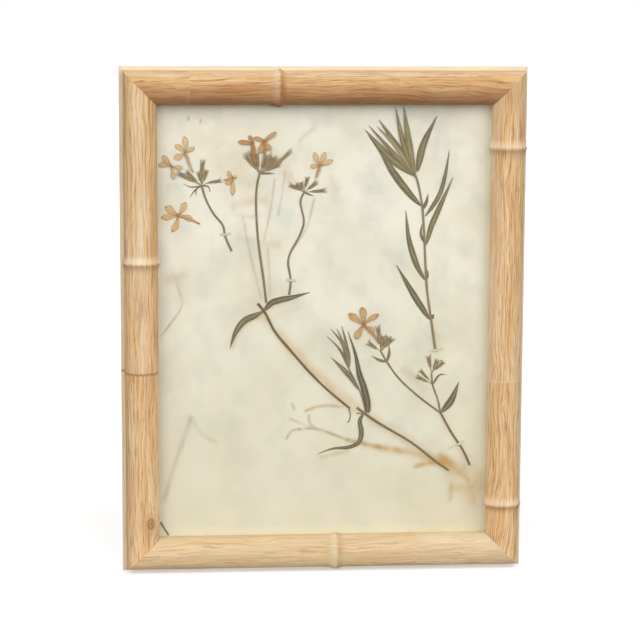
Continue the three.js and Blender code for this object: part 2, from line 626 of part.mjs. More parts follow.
// Budded sprig: a forked stem, buds on both branches and one open flower.
const FORK = [105, -83];
const BUDDED_HEAD = [51, -27];
const BUD_NODE = [96.5, -47];
const BUDDED_NODE = [56.5, -36.5];
const HEAD_BUDS = [[47.5, -1.5, 3.6], [62.5, -14, 3.4], [52.5, -11, 3.6], [58, -12.5, 3.4], [38, -18, 3.6]];
const BRANCH_BUDS = [[93, -30, 3.4], [102.5, -33.5, 4], [108.5, -35.5, 3]];
place(
  "budded_sprig_stem",
  fuse([
    stem([[132, -131], [125.5, -117], [115.5, -102], FORK], 2),
    stem([FORK, [94, -75], [81, -64.5], [66.5, -50.5], BUDDED_NODE, BUDDED_HEAD], 1.7),
    stem([FORK, [102, -70], [97.5, -57.5], BUD_NODE], 1.5),
    ...HEAD_BUDS.map(([x, z, width]) => calyx([BUDDED_HEAD, [x, z]], width)),
    ...BRANCH_BUDS.map(([x, z, width]) => calyx([BUD_NODE, [x, z]], width)),
    calyx([[97.3, -57], [82, -49]], 3),
    calyx([[97.2, -56], [85, -43]], 2.6),
    calyx([[97.4, -57.4], [104, -48.5], [110, -48.5]], 1.8),
    calyx([BUDDED_NODE, [49, -34.5], [42.5, -30.5]], 2.4),
    calyx([BUDDED_NODE, [58.5, -28], [58, -21]], 2.4),
  ]),
  STEM_GREEN,
);
const BUDDED_PETALS = [
  [33.5, 13, 6.6],
  [22, 7, 7.5],
  [48.5, 6.5, 5.4],
  [28.5, -15.5, 6.6],
  [45, -9.5, 6.5],
];
place(
  "budded_sprig_flower",
  flower([35.5, -3], BUDDED_PETALS, { tube: [[46, -14], [49, -20]], tipLift: OVER_STEM }),
  PETAL_TAN,
);
place("budded_sprig_leaf", leaf([[106.8, -81.5], [114, -72.5], [121, -55.5]], 6.2), LEAF_GREEN);
strap("strap_budded_sprig", [112, -116], [126.5, -109.4], 0.69, 2);

place("stem_fragment", stem([[-145, -179.5], [-142, -185], [-138.2, -191.4]], 1.5), STEM_GREEN);

export default frame;
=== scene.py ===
"""Pressed flower frame: dried phlox sprigs on an aged sheet behind glass, in a carved oak frame.

Sizes are millimetres and are turned to metres where they enter a mesh. The front faces -Y, +Z is up, and
points on the sheet are (x, z) from the middle of the sight opening.
"""

import logging
import math
from dataclasses import dataclass
from enum import Enum
from functools import cache
from typing import Callable, Iterable, Sequence

import bpy
import numpy as np
from mathutils import Matrix, Vector


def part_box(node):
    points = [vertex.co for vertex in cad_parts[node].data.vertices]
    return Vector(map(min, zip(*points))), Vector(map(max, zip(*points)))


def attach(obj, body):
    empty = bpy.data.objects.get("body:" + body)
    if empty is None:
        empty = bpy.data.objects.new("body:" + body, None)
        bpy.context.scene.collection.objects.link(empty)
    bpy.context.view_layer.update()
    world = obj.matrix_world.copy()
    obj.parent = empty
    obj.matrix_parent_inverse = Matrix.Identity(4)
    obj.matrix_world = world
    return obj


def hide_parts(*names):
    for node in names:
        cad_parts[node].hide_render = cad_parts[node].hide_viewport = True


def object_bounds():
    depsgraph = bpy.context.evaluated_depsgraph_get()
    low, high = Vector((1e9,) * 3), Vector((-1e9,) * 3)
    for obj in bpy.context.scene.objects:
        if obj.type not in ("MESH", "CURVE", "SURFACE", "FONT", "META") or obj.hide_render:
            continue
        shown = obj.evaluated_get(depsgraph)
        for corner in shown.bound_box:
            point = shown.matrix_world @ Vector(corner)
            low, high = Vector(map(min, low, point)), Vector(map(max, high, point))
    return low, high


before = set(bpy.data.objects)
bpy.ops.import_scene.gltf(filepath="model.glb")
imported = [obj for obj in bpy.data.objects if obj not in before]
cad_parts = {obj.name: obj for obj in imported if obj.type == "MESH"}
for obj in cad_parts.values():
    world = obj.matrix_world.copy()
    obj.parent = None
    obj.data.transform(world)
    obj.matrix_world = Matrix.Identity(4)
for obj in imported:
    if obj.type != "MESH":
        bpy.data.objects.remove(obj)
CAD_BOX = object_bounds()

LOG = logging.getLogger("pressed_flower_frame")
MM = 0.001
BODY = "root"

Point = tuple[float, float]
Placer = Callable[[np.ndarray, np.ndarray], tuple[np.ndarray, np.ndarray]]

SHEET_LOW, SHEET_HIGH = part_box("mount_sheet")
SHEET_CENTRE = (SHEET_LOW + SHEET_HIGH) / 2
SHEET_FRONT = SHEET_LOW.y
SIGHT_HALF_WIDTH = 146.0
SIGHT_HALF_HEIGHT = 191.5


class Slot(Enum):
    """The record's material slots."""

    OAK = "oak"
    GLASS = "glass"
    SHEET = "sheet_paper"
    BOARD = "fibreboard"
    CARD = "card"
    STEEL = "steel"
    STEM = "dried_stem"
    LEAF = "dried_leaf"
    PETAL = "dried_petal"
    STRAP = "strap_paper"


class Coordinates(Enum):
    """What a finish's patterns follow: the piece's own UV map in metres, or its place in the frame."""

    SKIN = "UV"
    PLACE = "Object"


def linear(code: str) -> tuple[float, float, float, float]:
    """Turn an sRGB hex value into a linear colour.

    Args:
        code: The colour as "#RRGGBB".

    Returns:
        Linear red, green and blue, and an alpha of 1.
    """
    channels = [int(code[start:start + 2], 16) / 255 for start in (1, 3, 5)]
    red, green, blue = (c / 12.92 if c <= 0.04045 else ((c + 0.055) / 1.055) ** 2.4 for c in channels)
    return red, green, blue, 1.0


def add(tree: bpy.types.NodeTree, kind: str, sockets: dict, **settings: object) -> bpy.types.Node:
    """Add one shader node with its settings and links.

    Args:
        tree: The node tree that gets the node.
        kind: The node's type without the ShaderNode prefix.
        sockets: For each input, by name or number, a value or the output socket to link.
        settings: Properties of the node itself.

    Returns:
        The new node.
    """
    node = tree.nodes.new("ShaderNode" + kind)
    for name, value in settings.items():
        setattr(node, name, value)
    for socket, value in sockets.items():
        if isinstance(value, bpy.types.NodeSocket):
            tree.links.new(value, node.inputs[socket])
        else:
            node.inputs[socket].default_value = value
    return node


@dataclass(frozen=True)
class Pattern:
    """Patches of one colour in a finish, sized in millimetres.

    The colour starts at the noise level low and is full at high. A relief in millimetres lifts the patches,
    or sinks them where it is negative.
    """

    colour: str
    along: float
    across: float
    low: float
    high: float
    strength: float = 1.0
    detail: float = 2.0
    relief: float = 0.0

    def mask(self, tree: bpy.types.NodeTree, spot: bpy.types.NodeSocket) -> bpy.types.NodeSocket:
        """Give the pattern's mask, from 0 to its strength.

        Args:
            tree: The material's node tree.
            spot: The coordinates in metres.

        Returns:
            The socket that holds the mask.
        """
        scale = (1 / (self.along * MM), 1 / (self.across * MM), 1 / (self.across * MM))
        stretched = add(tree, "Mapping", {"Vector": spot, "Scale": scale})
        noise = add(tree, "TexNoise", {"Vector": stretched.outputs[0], "Scale": 1.0, "Detail": self.detail})
        limits = {"Value": noise.outputs[0], "From Min": self.low, "From Max": self.high}
        return add(tree, "MapRange", {**limits, "To Max": self.strength}).outputs[0]


@dataclass(frozen=True)
class Tint:
    """A colour that a mesh attribute of the piece brings in."""

    colour: str
    attribute: str
    strength: float = 1.0
    relief: float = 0.0

    def mask(self, tree: bpy.types.NodeTree, spot: bpy.types.NodeSocket) -> bpy.types.NodeSocket:
        """Give the tint's mask, from 0 to its strength.

        Args:
            tree: The material's node tree.
            spot: Not used, because the attribute has its own places.

        Returns:
            The socket that holds the mask.
        """
        painted = add(tree, "Attribute", {}, attribute_name=self.attribute)
        return add(tree, "MapRange", {"Value": painted.outputs["Fac"], "To Max": self.strength}).outputs[0]


@dataclass(frozen=True)
class Finish:
    """A matte or satin material: a base colour under coats of patterns and tints."""

    name: str
    base: str
    roughness: float
    coats: tuple[Pattern | Tint, ...]
    follows: Coordinates = Coordinates.SKIN
    ior: float = 1.5
    metallic: float = 0.0
    specular: float = 0.5

    @cache
    def make(self) -> bpy.types.Material:
        """Build the material once and give it back on later calls.

        Returns:
            The material.
        """
        made = bpy.data.materials.new(self.name)
        made.use_nodes = True
        tree = made.node_tree
        shader = tree.nodes["Principled BSDF"]
        shader.inputs["Roughness"].default_value = self.roughness
        shader.inputs["Metallic"].default_value = self.metallic
        shader.inputs["Specular IOR Level"].default_value = self.specular
        if not self.metallic:
            shader.inputs["IOR"].default_value = self.ior
        spot = add(tree, "TexCoord", {}).outputs[self.follows.value]
        colour: object = linear(self.base)
        height: object = 0.0
        for coat in self.coats:
            mask = coat.mask(tree, spot)
            mixed = add(tree, "Mix", {0: mask, 6: colour, 7: linear(coat.colour)}, data_type="RGBA")
            colour = mixed.outputs[2]
            if coat.relief:
                raised = {0: mask, 1: coat.relief, 2: height}
                height = add(tree, "Math", raised, operation="MULTIPLY_ADD").outputs[0]
        tree.links.new(colour, shader.inputs["Base Color"])
        if isinstance(height, bpy.types.NodeSocket):
            bump = add(tree, "Bump", {"Height": height, "Distance": MM, "Strength": 1.0})
            tree.links.new(bump.outputs[0], shader.inputs["Normal"])
        return made


# Oak, carved and waxed: tan heartwood with cream streaks, and fine dark pores that run along the rail.
# Real pores are about a third as wide. These are as coarse as they need to be to show in the render.
OAK = Finish(
    "carved_oak", "#E5BC86", 0.55,
    (
        Pattern("#EDCB9B", 240, 4.5, 0.42, 0.62, 0.7, 3),
        Pattern("#C98C50", 150, 2.2, 0.48, 0.66, 0.65, 3),
        Pattern("#F4E2BF", 90, 1.7, 0.54, 0.68, 0.7, 2),
        Pattern("#A96A36", 60, 1.2, 0.56, 0.68, 0.65, 2, -0.05),
        Pattern("#8F5A2E", 28, 0.9, 0.57, 0.67, 0.6, 2, -0.05),
        Pattern("#6E4220", 16, 0.8, 0.6, 0.69, 0.5, 1, -0.1),
        # The pale and dark tints carry the wood's own tone and also painted light and painted shade on the
        # rails.
        Tint("#F1E4C8", "pale", 0.85),
        Tint("#A06334", "dark", 0.8),
        Tint("#CDBB95", "limed", 0.8),
        Tint("#7A4526", "heart", 0.9),
    ),
)
# Rag paper, aged behind glass: cream with cloudy toning, foxing specks, and the brown prints of old stems.
AGED_PAPER = Finish(
    "aged_rag_paper", "#F6F0DE", 0.9,
    (
        Pattern("#DDD2B3", 70, 60, 0.4, 0.7, 0.6, 3),
        Pattern("#D4D3C6", 30, 38, 0.46, 0.7, 0.7, 3),
        Pattern("#F8F1DF", 16, 12, 0.54, 0.76, 0.6, 2),
        Pattern("#D3C7A6", 1.8, 1.8, 0.55, 0.8, 0.3, 2, 0.01),
        # Darker towards the bottom of the sheet.
        Tint("#D5CBAB", "age", 0.8),
        # Painted light: the sheet is paler along the right and bottom sight edges.
        Tint("#F3E7C4", "edge", 0.4),
        Tint("#BF903A", "stain", 0.95),
        Tint("#A0854E", "ghost", 0.95),
        Pattern("#7D6A48", 2.6, 2.6, 0.765, 0.79, 0.5, 1),
    ),
    specular=0.25,
)
# Pressed leaf: grey olive, faintly streaked along the veins, with a paler midrib and browned edges.
# The streaks are coarser than real veins, so that they show in the render.
PRESSED_LEAF = Finish(
    "pressed_leaf", "#695C37", 0.72,
    (
        Pattern("#8B7F5A", 16, 2.4, 0.45, 0.7, 0.75, 2),
        Pattern("#524B36", 6, 0.7, 0.52, 0.75, 0.6, 2, -0.05),
        Pattern("#8F7E58", 5, 4, 0.58, 0.78, 0.5, 2),
        Tint("#B29B68", "pale", 0.9),
        Tint("#453F2C", "dark", 0.85),
        Tint("#4E4630", "edge", 0.55),
        Tint("#A8966A", "heart", 0.6, 0.1),
    ),
    specular=0.3,
)
# Dried stem: olive brown, ribbed lengthwise, dark at its sides and tan along its ridge, which is partly a
# painted highlight.
DRIED_STEM = Finish(
    "dried_stalk", "#8A774E", 0.75,
    (
        Pattern("#685A3A", 18, 0.7, 0.45, 0.65, 0.6, 2, -0.05),
        Pattern("#A8946A", 9, 0.6, 0.55, 0.75, 0.6, 2),
        Tint("#BC9F6C", "pale", 0.9),
        Tint("#4A3C20", "dark", 0.9),
        Tint("#3E3520", "edge", 0.85),
        Tint("#A17B38", "heart", 0.8),
    ),
    specular=0.3,
)
# Dried petal: papery tan that has gone orange, with brown veins, a dark throat and a darker rim.
# The veins are coarser than real ones, so that they show in the render.
DRIED_PETAL = Finish(
    "dried_corolla", "#E2BA80", 0.7,
    (
        Pattern("#EACB94", 8, 2.2, 0.42, 0.66, 0.8, 2),
        Pattern("#A9682A", 14, 1.2, 0.49, 0.62, 0.8, 2, -0.04),
        Pattern("#AA7430", 2.5, 1.8, 0.58, 0.74, 0.55, 2),
        Tint("#EAD5A6", "pale", 0.8),
        Tint("#A26926", "dark", 0.85),
        Tint("#946029", "edge", 0.75),
        Tint("#825022", "heart", 0.85),
    ),
    specular=0.25,
)
# Strap paper: thin cream slips, a little soiled.
STRAP_PAPER = Finish(
    "gummed_slip_paper", "#E3D9BC", 0.9,
    (
        Pattern("#B9AD8B", 2.5, 1.2, 0.45, 0.75, 0.6, 2, 0.02),
        Tint("#8F8366", "edge", 0.5),
    ),
    specular=0.25,
)
# Hardboard: pressed brown wood fibre, flecked and slightly mottled.
HARDBOARD = Finish(
    "brown_hardboard", "#8A6743", 0.8,
    (
        Pattern("#A27C53", 30, 30, 0.42, 0.72, 0.6, 3),
        Pattern("#694A2C", 2.2, 0.9, 0.52, 0.72, 0.65, 3, -0.03),
        Pattern("#B8946A", 1.6, 0.8, 0.6, 0.76, 0.6, 2, 0.02),
    ),
    follows=Coordinates.PLACE,
    specular=0.3,
)
# Mount card: cream pulp board with grey flecks.
CREAM_CARD = Finish(
    "cream_card", "#E4DCC4", 0.9,
    (
        Pattern("#CFC4A6", 12, 12, 0.45, 0.75, 0.6, 3),
        Pattern("#A99F84", 0.8, 0.8, 0.62, 0.78, 0.5, 1, 0.01),
    ),
    follows=Coordinates.PLACE,
    specular=0.25,
)
# Zinc-plated steel: a dull silver with faint spangle and a little tarnish.
ZINC_STEEL = Finish(
    "zinc_plated_steel", "#B9BBBC", 0.38,
    (
        Pattern("#9DA0A2", 3, 3, 0.45, 0.7, 0.7, 2),
        Pattern("#7C7468", 5, 5, 0.62, 0.8, 0.5, 3, -0.01),
    ),
    follows=Coordinates.PLACE,
    metallic=1.0,
)


@dataclass(frozen=True)
class WindowGlass:
    """Float glass: clear, smooth, with only a faint grey-green body."""

    name: str = "float_glass"
    tint: str = "#FBFDFB"
    ior: float = 1.5
    roughness: float = 0.0

    def make(self) -> bpy.types.Material:
        """Build the glass material.

        Returns:
            The material.
        """
        made = bpy.data.materials.new(self.name)
        made.use_nodes = True
        shader = made.node_tree.nodes["Principled BSDF"]
        shader.inputs["Base Color"].default_value = linear(self.tint)
        shader.inputs["Roughness"].default_value = self.roughness
        shader.inputs["IOR"].default_value = self.ior
        shader.inputs["Transmission Weight"].default_value = 1.0
        return made


def edit(piece: bpy.types.Object) -> None:
    """Select one piece alone and open it in edit mode with everything in it selected."""
    bpy.ops.object.select_all(action="DESELECT")
    piece.select_set(True)
    bpy.context.view_layer.objects.active = piece
    bpy.ops.object.mode_set(mode="EDIT")
    bpy.ops.mesh.select_mode(type="VERT")
    bpy.ops.mesh.select_all(action="SELECT")


def add_grid(cells_along: int, cells_across: int) -> bpy.types.Object:
    """Add a flat grid from -1 to 1 that a form is then laid out from.

    Args:
        cells_along: Faces along the form.
        cells_across: Faces across or around it.

    Returns:
        The grid's object.
    """
    bpy.ops.object.select_all(action="DESELECT")
    bpy.ops.mesh.primitive_grid_add(x_subdivisions=cells_along, y_subdivisions=cells_across, size=2)
    return bpy.context.active_object


def flat_spots(grid: bpy.types.Object) -> tuple[np.ndarray, np.ndarray]:
    """Read a flat grid's vertices.

    Args:
        grid: A grid as add_grid leaves it.

    Returns:
        Each vertex's share along the grid from 0 to 1, and its place across from -1 to 1.
    """
    flat = np.empty(len(grid.data.vertices) * 3)
    grid.data.vertices.foreach_get("co", flat)
    flat = flat.reshape(-1, 3)
    return (flat[:, 0] + 1) / 2, flat[:, 1]


def lay(grid: bpy.types.Object, place: Placer) -> None:
    """Move a flat grid's vertices onto a form and write its UV map in metres along the form's skin.

    Args:
        grid: A grid as add_grid leaves it.
        place: Gives places and skin coordinates, both in millimetres in the frame and along the skin.
    """
    spots, skin = place(*flat_spots(grid))
    mesh = grid.data
    mesh.vertices.foreach_set("co", (spots * MM).astype(np.float32).ravel())
    corners = np.empty(len(mesh.loops), np.int32)
    mesh.loops.foreach_get("vertex_index", corners)
    mesh.uv_layers.active.data.foreach_set("uv", (skin[corners] * MM).astype(np.float32).ravel())
    mesh.update()


def paint(piece: bpy.types.Object, **attributes: np.ndarray | float) -> None:
    """Store values from 0 to 1 on a piece's vertices.

    Args:
        piece: The piece to paint.
        attributes: An array over the vertices, or one number, for each attribute's name.
    """
    count = len(piece.data.vertices)
    for name, values in attributes.items():
        spread = np.clip(np.broadcast_to(values, count), 0, 1).astype(np.float32)
        piece.data.attributes.new(name, "FLOAT", "POINT").data.foreach_set("value", spread)


def seal(piece: bpy.types.Object) -> None:
    """Close a rolled grid: merge its seam, fill its ends and turn its faces outwards."""
    edit(piece)
    bpy.ops.mesh.remove_doubles(threshold=0.002 * MM)
    bpy.ops.mesh.select_all(action="DESELECT")
    bpy.ops.mesh.select_non_manifold(extend=False)
    bpy.ops.mesh.fill_holes(sides=0)
    bpy.ops.mesh.select_all(action="SELECT")
    bpy.ops.mesh.normals_make_consistent(inside=False)
    bpy.ops.object.mode_set(mode="OBJECT")


def thicken(piece: bpy.types.Object, thickness: float) -> None:
    """Give a sheet a thickness in millimetres, half to each side.

    Args:
        piece: An open sheet.
        thickness: The finished thickness.
    """
    edit(piece)
    bpy.ops.mesh.normals_make_consistent(inside=False)
    bpy.ops.object.mode_set(mode="OBJECT")
    bpy.ops.object.modifier_add(type="SOLIDIFY")
    solidify = piece.modifiers[-1]
    solidify.thickness = thickness * MM
    solidify.offset = 0
    bpy.ops.object.modifier_apply(modifier=solidify.name)


def join(parts: Sequence[bpy.types.Object], name: str) -> bpy.types.Object:
    """Join parts into one piece.

    Args:
        parts: The parts, which become one object.
        name: The piece's name.

    Returns:
        The joined piece.
    """
    bpy.ops.object.select_all(action="DESELECT")
    for part in parts:
        part.select_set(True)
    bpy.context.view_layer.objects.active = parts[0]
    if len(parts) > 1:
        bpy.ops.object.join()
    piece = bpy.context.active_object
    piece.name = name
    piece.data.name = name
    return piece


def dress(piece: bpy.types.Object, finish: Finish, node: str, angle: float = 40) -> None:
    """Smooth a finished piece, give it its material and set it in the frame in place of a node.

    Args:
        piece: The piece.
        finish: Its material.
        node: The CAD node that it stands for.
        angle: Edges sharper than this many degrees stay sharp.
    """
    bpy.ops.object.select_all(action="DESELECT")
    piece.select_set(True)
    bpy.context.view_layer.objects.active = piece
    bpy.ops.object.shade_smooth_by_angle(angle=math.radians(angle))
    piece.data.materials.clear()
    piece.data.materials.append(finish.make())
    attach(piece, BODY)
    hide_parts(node)
    LOG.info("%s: %d faces", piece.name, len(piece.data.polygons))


WAVES = 5
WAVE_PITCH = 2.4
WAVE_FINER = 1.5
WAVE_FAINTER = 1.35
WAVE_SUM = 2.6


def ripple(x: np.ndarray, y: np.ndarray, seed: int) -> np.ndarray:
    """Give smooth irregular waves between about -1 and 1, about one wave for each unit of x or y.

    Args:
        x: First coordinate.
        y: Second coordinate.
        seed: Picks the waves.

    Returns:
        The height of the waves.
    """
    draw = np.random.default_rng(seed)
    height = np.zeros(np.broadcast(x, y).shape)
    for octave in range(WAVES):
        turn, phase = draw.uniform(0, 2 * math.pi, 2)
        pitch = WAVE_PITCH * WAVE_FINER ** octave
        wave = np.sin(pitch * (x * math.cos(turn) + y * math.sin(turn)) + phase)
        height += wave / WAVE_FAINTER ** octave
    return height / WAVE_SUM


def ease(x: np.ndarray, start: float, end: float) -> np.ndarray:
    """Rise smoothly from 0 at start to 1 at end."""
    share = np.clip((x - start) / (end - start), 0, 1)
    return share * share * (3 - 2 * share)


class Spine:
    """A smooth line through points on the sheet, measured by its length."""

    SAMPLES = 24
    LOOK = 0.4

    def __init__(self, points: Sequence[Point]) -> None:
        """Run a centripetal spline through the points.

        Args:
            points: Two or more points (x, z) in millimetres.
        """
        given = np.array(points, float)
        ends = 2 * given[0] - given[1], 2 * given[-1] - given[-2]
        knots = np.vstack([ends[0], given, ends[1]])
        line = [given[:1]]
        for k in range(len(given) - 1):
            line.append(self._stretch(*knots[k:k + 4]))
        self.line = np.vstack(line)
        steps = np.hypot(*np.diff(self.line, axis=0).T)
        self.run = np.concatenate([[0], np.cumsum(steps)])
        self.length = float(self.run[-1])

    def _stretch(self, a: np.ndarray, b: np.ndarray, c: np.ndarray, d: np.ndarray) -> np.ndarray:
        """Sample the spline between its two middle knots.

        Args:
            a: The knot before.
            b: The knot where the stretch starts.
            c: The knot where it ends.
            d: The knot after.

        Returns:
            Points after b up to c.
        """
        gaps = [max(math.sqrt(math.dist(p, q)), 1e-6) for p, q in ((a, b), (b, c), (c, d))]
        leave = (b - a) / gaps[0] - (c - a) / (gaps[0] + gaps[1]) + (c - b) / gaps[1]
        arrive = (c - b) / gaps[1] - (d - b) / (gaps[1] + gaps[2]) + (d - c) / gaps[2]
        t = np.linspace(0, 1, self.SAMPLES + 1)[1:, None]
        pull = gaps[1]
        return (
            (2 * t ** 3 - 3 * t ** 2 + 1) * b
            + (t ** 3 - 2 * t ** 2 + t) * leave * pull
            + (3 * t ** 2 - 2 * t ** 3) * c
            + (t ** 3 - t ** 2) * arrive * pull
        )

    def at(self, t: np.ndarray) -> tuple[np.ndarray, np.ndarray]:
        """Find places along the line.

        Args:
            t: Shares of the length from 0 to 1.

        Returns:
            The places, and the directions square to the line, both as (x, z) rows.
        """
        def spot(share: np.ndarray) -> np.ndarray:
            """Read the line at shares of its length."""
            reach = np.clip(share, 0, 1) * self.length
            return np.stack([np.interp(reach, self.run, self.line[:, axis]) for axis in (0, 1)], axis=1)

        step = self.LOOK / max(self.length, 1)
        ahead = spot(t + step) - spot(t - step)
        ahead /= np.linalg.norm(ahead, axis=1)[:, None]
        return spot(t), np.stack([-ahead[:, 1], ahead[:, 0]], axis=1)

    def beside(self, t: np.ndarray, out: np.ndarray) -> np.ndarray:
        """Find places out to the side of the line.

        Args:
            t: Shares of the length from 0 to 1.
            out: Millimetres out to the left of the line, or to the right below 0.

        Returns:
            The places as (x, z) rows.
        """
        middle, aside = self.at(t)
        return middle + aside * out[:, None]


def on_sheet(places: np.ndarray, height: np.ndarray) -> np.ndarray:
    """Set points on the sheet at a height in front of it.

    Args:
        places: Rows of (x, z) in millimetres from the middle of the sight.
        height: Millimetres in front of the sheet.

    Returns:
        Rows of (x, y, z) in millimetres in the frame.
    """
    x = SHEET_CENTRE.x / MM + places[:, 0]
    z = SHEET_CENTRE.z / MM + places[:, 1]
    return np.stack([x, SHEET_FRONT / MM - height, z], axis=1)


def toned(shade: float) -> dict[str, float]:
    """Split a shade into the attributes that pale a piece above 0 and darken it below 0."""
    return {"pale": max(shade, 0), "dark": max(-shade, 0)}


ON_PAPER = 0.05
OVER_STEM = 0.95
UNDER_GLASS = 1.5


@dataclass
class Leaf:
    """A pressed leaf blade: widest at its peak, pointed, with a midrib and slightly wavy edges.

    The base height is where its foot lies over a stem, and it has come down to the paper at the share down.
    The foot is how far the blade runs back from its path to clasp the stem. A shade above 0 is yellowed,
    and one below 0 is darkened.
    """

    path: Sequence[Point]
    width: float
    peak: float = 0.35
    base: float = ON_PAPER
    down: float = 0.6
    shade: float = 0.0
    blunt: float = 0.06
    thickness: float = 0.26
    rib: float = 0.14
    foot: float = 0.0
    seed: int = 0

    CELL = 1.7
    ROWS = 8
    EDGE_WAVE = 0.07
    WRINKLE = 0.1
    RIB_WIDTH = 0.16
    VEIN_WIDTH = 0.13

    def profile(self, t: np.ndarray) -> np.ndarray:
        """Give the half width along the blade."""
        bend = math.log(0.5) / math.log(self.peak)
        return self.width / 2 * (self.blunt + (1 - self.blunt) * np.sin(math.pi * t ** bend))

    def build(self) -> bpy.types.Object:
        """Model the blade.

        Returns:
            The blade's mesh object.
        """
        first, second = np.array(self.path[0]), np.array(self.path[1])
        back = (second - first) / np.linalg.norm(second - first) * self.foot
        spine = Spine([tuple(first - back), *self.path[1:]])
        blade = add_grid(max(8, int(spine.length / self.CELL)), self.ROWS)
        t, across = flat_spots(blade)
        along = t * spine.length

        def place(share: np.ndarray, side: np.ndarray) -> tuple[np.ndarray, np.ndarray]:
            """Lay the blade along its spine."""
            half = self.profile(share) * (1 + self.EDGE_WAVE * ripple(along / 9, side * 0.4, self.seed))
            lift = self.base + (ON_PAPER - self.base) * ease(share, self.down / 2, self.down)
            wrinkle = self.WRINKLE * ripple(along / 8, side * 1.3, self.seed + 1) * (0.4 + np.abs(side))
            rib = self.rib * np.exp(-((side / self.RIB_WIDTH) ** 2)) * (1 - share)
            height = np.clip(lift + self.thickness / 2 + np.abs(wrinkle) + rib, 0, UNDER_GLASS)
            out = side * half
            return on_sheet(spine.beside(share, out), height), np.stack([along, out], 1)

        lay(blade, place)
        paint(
            blade,
            **toned(self.shade),
            edge=np.abs(across) ** 5,
            heart=np.exp(-((across / self.VEIN_WIDTH) ** 2)),
        )
        thicken(blade, self.thickness)
        return blade


@dataclass
class Stem:
    """A pressed stem: a flattened tube, a little uneven, that thins towards its tip.

    Warmth browns its ridge. The ridge is partly its own tan colour and partly a painted highlight, painted
    a little to the side that faces the light.
    """

    path: Sequence[Point]
    width: float
    thickness: float = 0.8
    taper: float = 0.15
    shade: float = 0.0
    ridge_warmth_and_highlight: float = 0.0
    seed: int = 0

    CELL = 2.0
    AROUND = 14
    RIDGE_SHIFT_TO_LIGHT = 0.18
    UNEVEN = 0.1

    def build(self) -> bpy.types.Object:
        """Model the stem.

        Returns:
            The stem's mesh object.
        """
        spine = Spine(self.path)
        tube = add_grid(max(6, int(spine.length / self.CELL)), self.AROUND)
        _, around = flat_spots(tube)

        def place(share: np.ndarray, turn: np.ndarray) -> tuple[np.ndarray, np.ndarray]:
            """Roll the grid round the spine, with its seam on the paper."""
            along = share * spine.length
            uneven = 1 + self.UNEVEN * ripple(along / 11, 0 * along, self.seed)
            half = self.width / 2 * (1 - self.taper * share) * uneven
            out = np.sin(math.pi * turn) * half
            height = ON_PAPER + self.thickness / 2 * (1 + np.cos(math.pi * turn))
            return on_sheet(spine.beside(share, out), height), np.stack([along, turn * self.width], 1)

        lay(tube, place)
        paint(
            tube,
            **toned(self.shade),
            edge=np.abs(np.sin(math.pi * around)) ** 4 * 0.8,
            # Painted highlight mixed with the tan ridge, shifted to the side that faces the light.
            heart=self.ridge_warmth_and_highlight * np.clip(np.cos(math.pi * (around - self.RIDGE_SHIFT_TO_LIGHT)), 0, 1) ** 2,
        )
        seal(tube)
        return tube


@dataclass
class Calyx:
    """A pressed calyx or bud: a ribbed cup that widens from its stalk and ends in pointed teeth.

    Real ribs are finer. These are as coarse as they need to be to show in the render.
    """

    path: Sequence[Point]
    width: float
    thickness: float = 0.75
    shade: float = 0.0
    seed: int = 0

    CUP = 0.66
    CELLS = 12
    AROUND = 20
    RIBS = 2
    TEETH = (-0.4, -0.13, 0.13, 0.4)

    def cup(self) -> bpy.types.Object:
        """Model the ribbed cup.

        Returns:
            The cup's mesh object.
        """
        spine = Spine(self.path)
        tube = add_grid(self.CELLS, self.AROUND)
        t, around = flat_spots(tube)
        ribs = 0.5 + 0.5 * np.cos(2 * math.pi * self.RIBS * around)

        def place(share: np.ndarray, turn: np.ndarray) -> tuple[np.ndarray, np.ndarray]:
            """Roll the grid into the cup."""
            reach = share * self.CUP
            swell = 0.24 + 0.76 * ease(share, 0.3, 0.7) - 0.3 * ease(share, 0.8, 1)
            half = self.width * 0.38 * swell * (0.92 + 0.1 * ribs)
            out = np.sin(math.pi * turn) * half
            crown = 1 + np.cos(math.pi * turn) * (0.9 + 0.1 * ribs)
            height = ON_PAPER + self.thickness / 2 * swell * crown
            skin = np.stack([reach * spine.length, turn * self.width], 1)
            return on_sheet(spine.beside(reach, out), height), skin

        lay(tube, place)
        paint(
            tube,
            pale=ribs * 0.9 + max(self.shade, 0),
            dark=(1 - ribs) * 0.6 + max(-self.shade, 0),
            edge=np.abs(np.sin(math.pi * around)) ** 6 * 0.5,
            heart=ease(1 - t, 0.6, 1) * 0.5,
        )
        seal(tube)
        return tube

    def tooth(self, lean: float, number: int) -> bpy.types.Object:
        """Model one pointed tooth.

        Args:
            lean: How far aside its tip is, as a share of the width.
            number: Which tooth it is.

        Returns:
            The tooth's mesh object.
        """
        spine = Spine(self.path)
        draw = np.random.default_rng(self.seed * 10 + number)
        reach = np.array([self.CUP * 0.7, 0.82, 1.0 - draw.uniform(0, 0.1)])
        middle, aside = spine.at(reach)
        offsets = np.array([0.6 * lean, 1.1 * lean, (1.5 + draw.uniform(0, 0.8)) * lean]) * self.width
        path = [tuple(spot) for spot in middle + aside * offsets[:, None]]
        blade = Leaf(path, self.width * 0.27, 0.3, 0.45, 2.5, self.shade + 0.2, seed=self.seed + number)
        return blade.build()

    def build(self) -> bpy.types.Object:
        """Model the calyx with its teeth.

        Returns:
            The calyx's mesh object.
        """
        teeth = [self.tooth(lean, number) for number, lean in enumerate(self.TEETH)]
        return join([self.cup(), *teeth], "calyx")


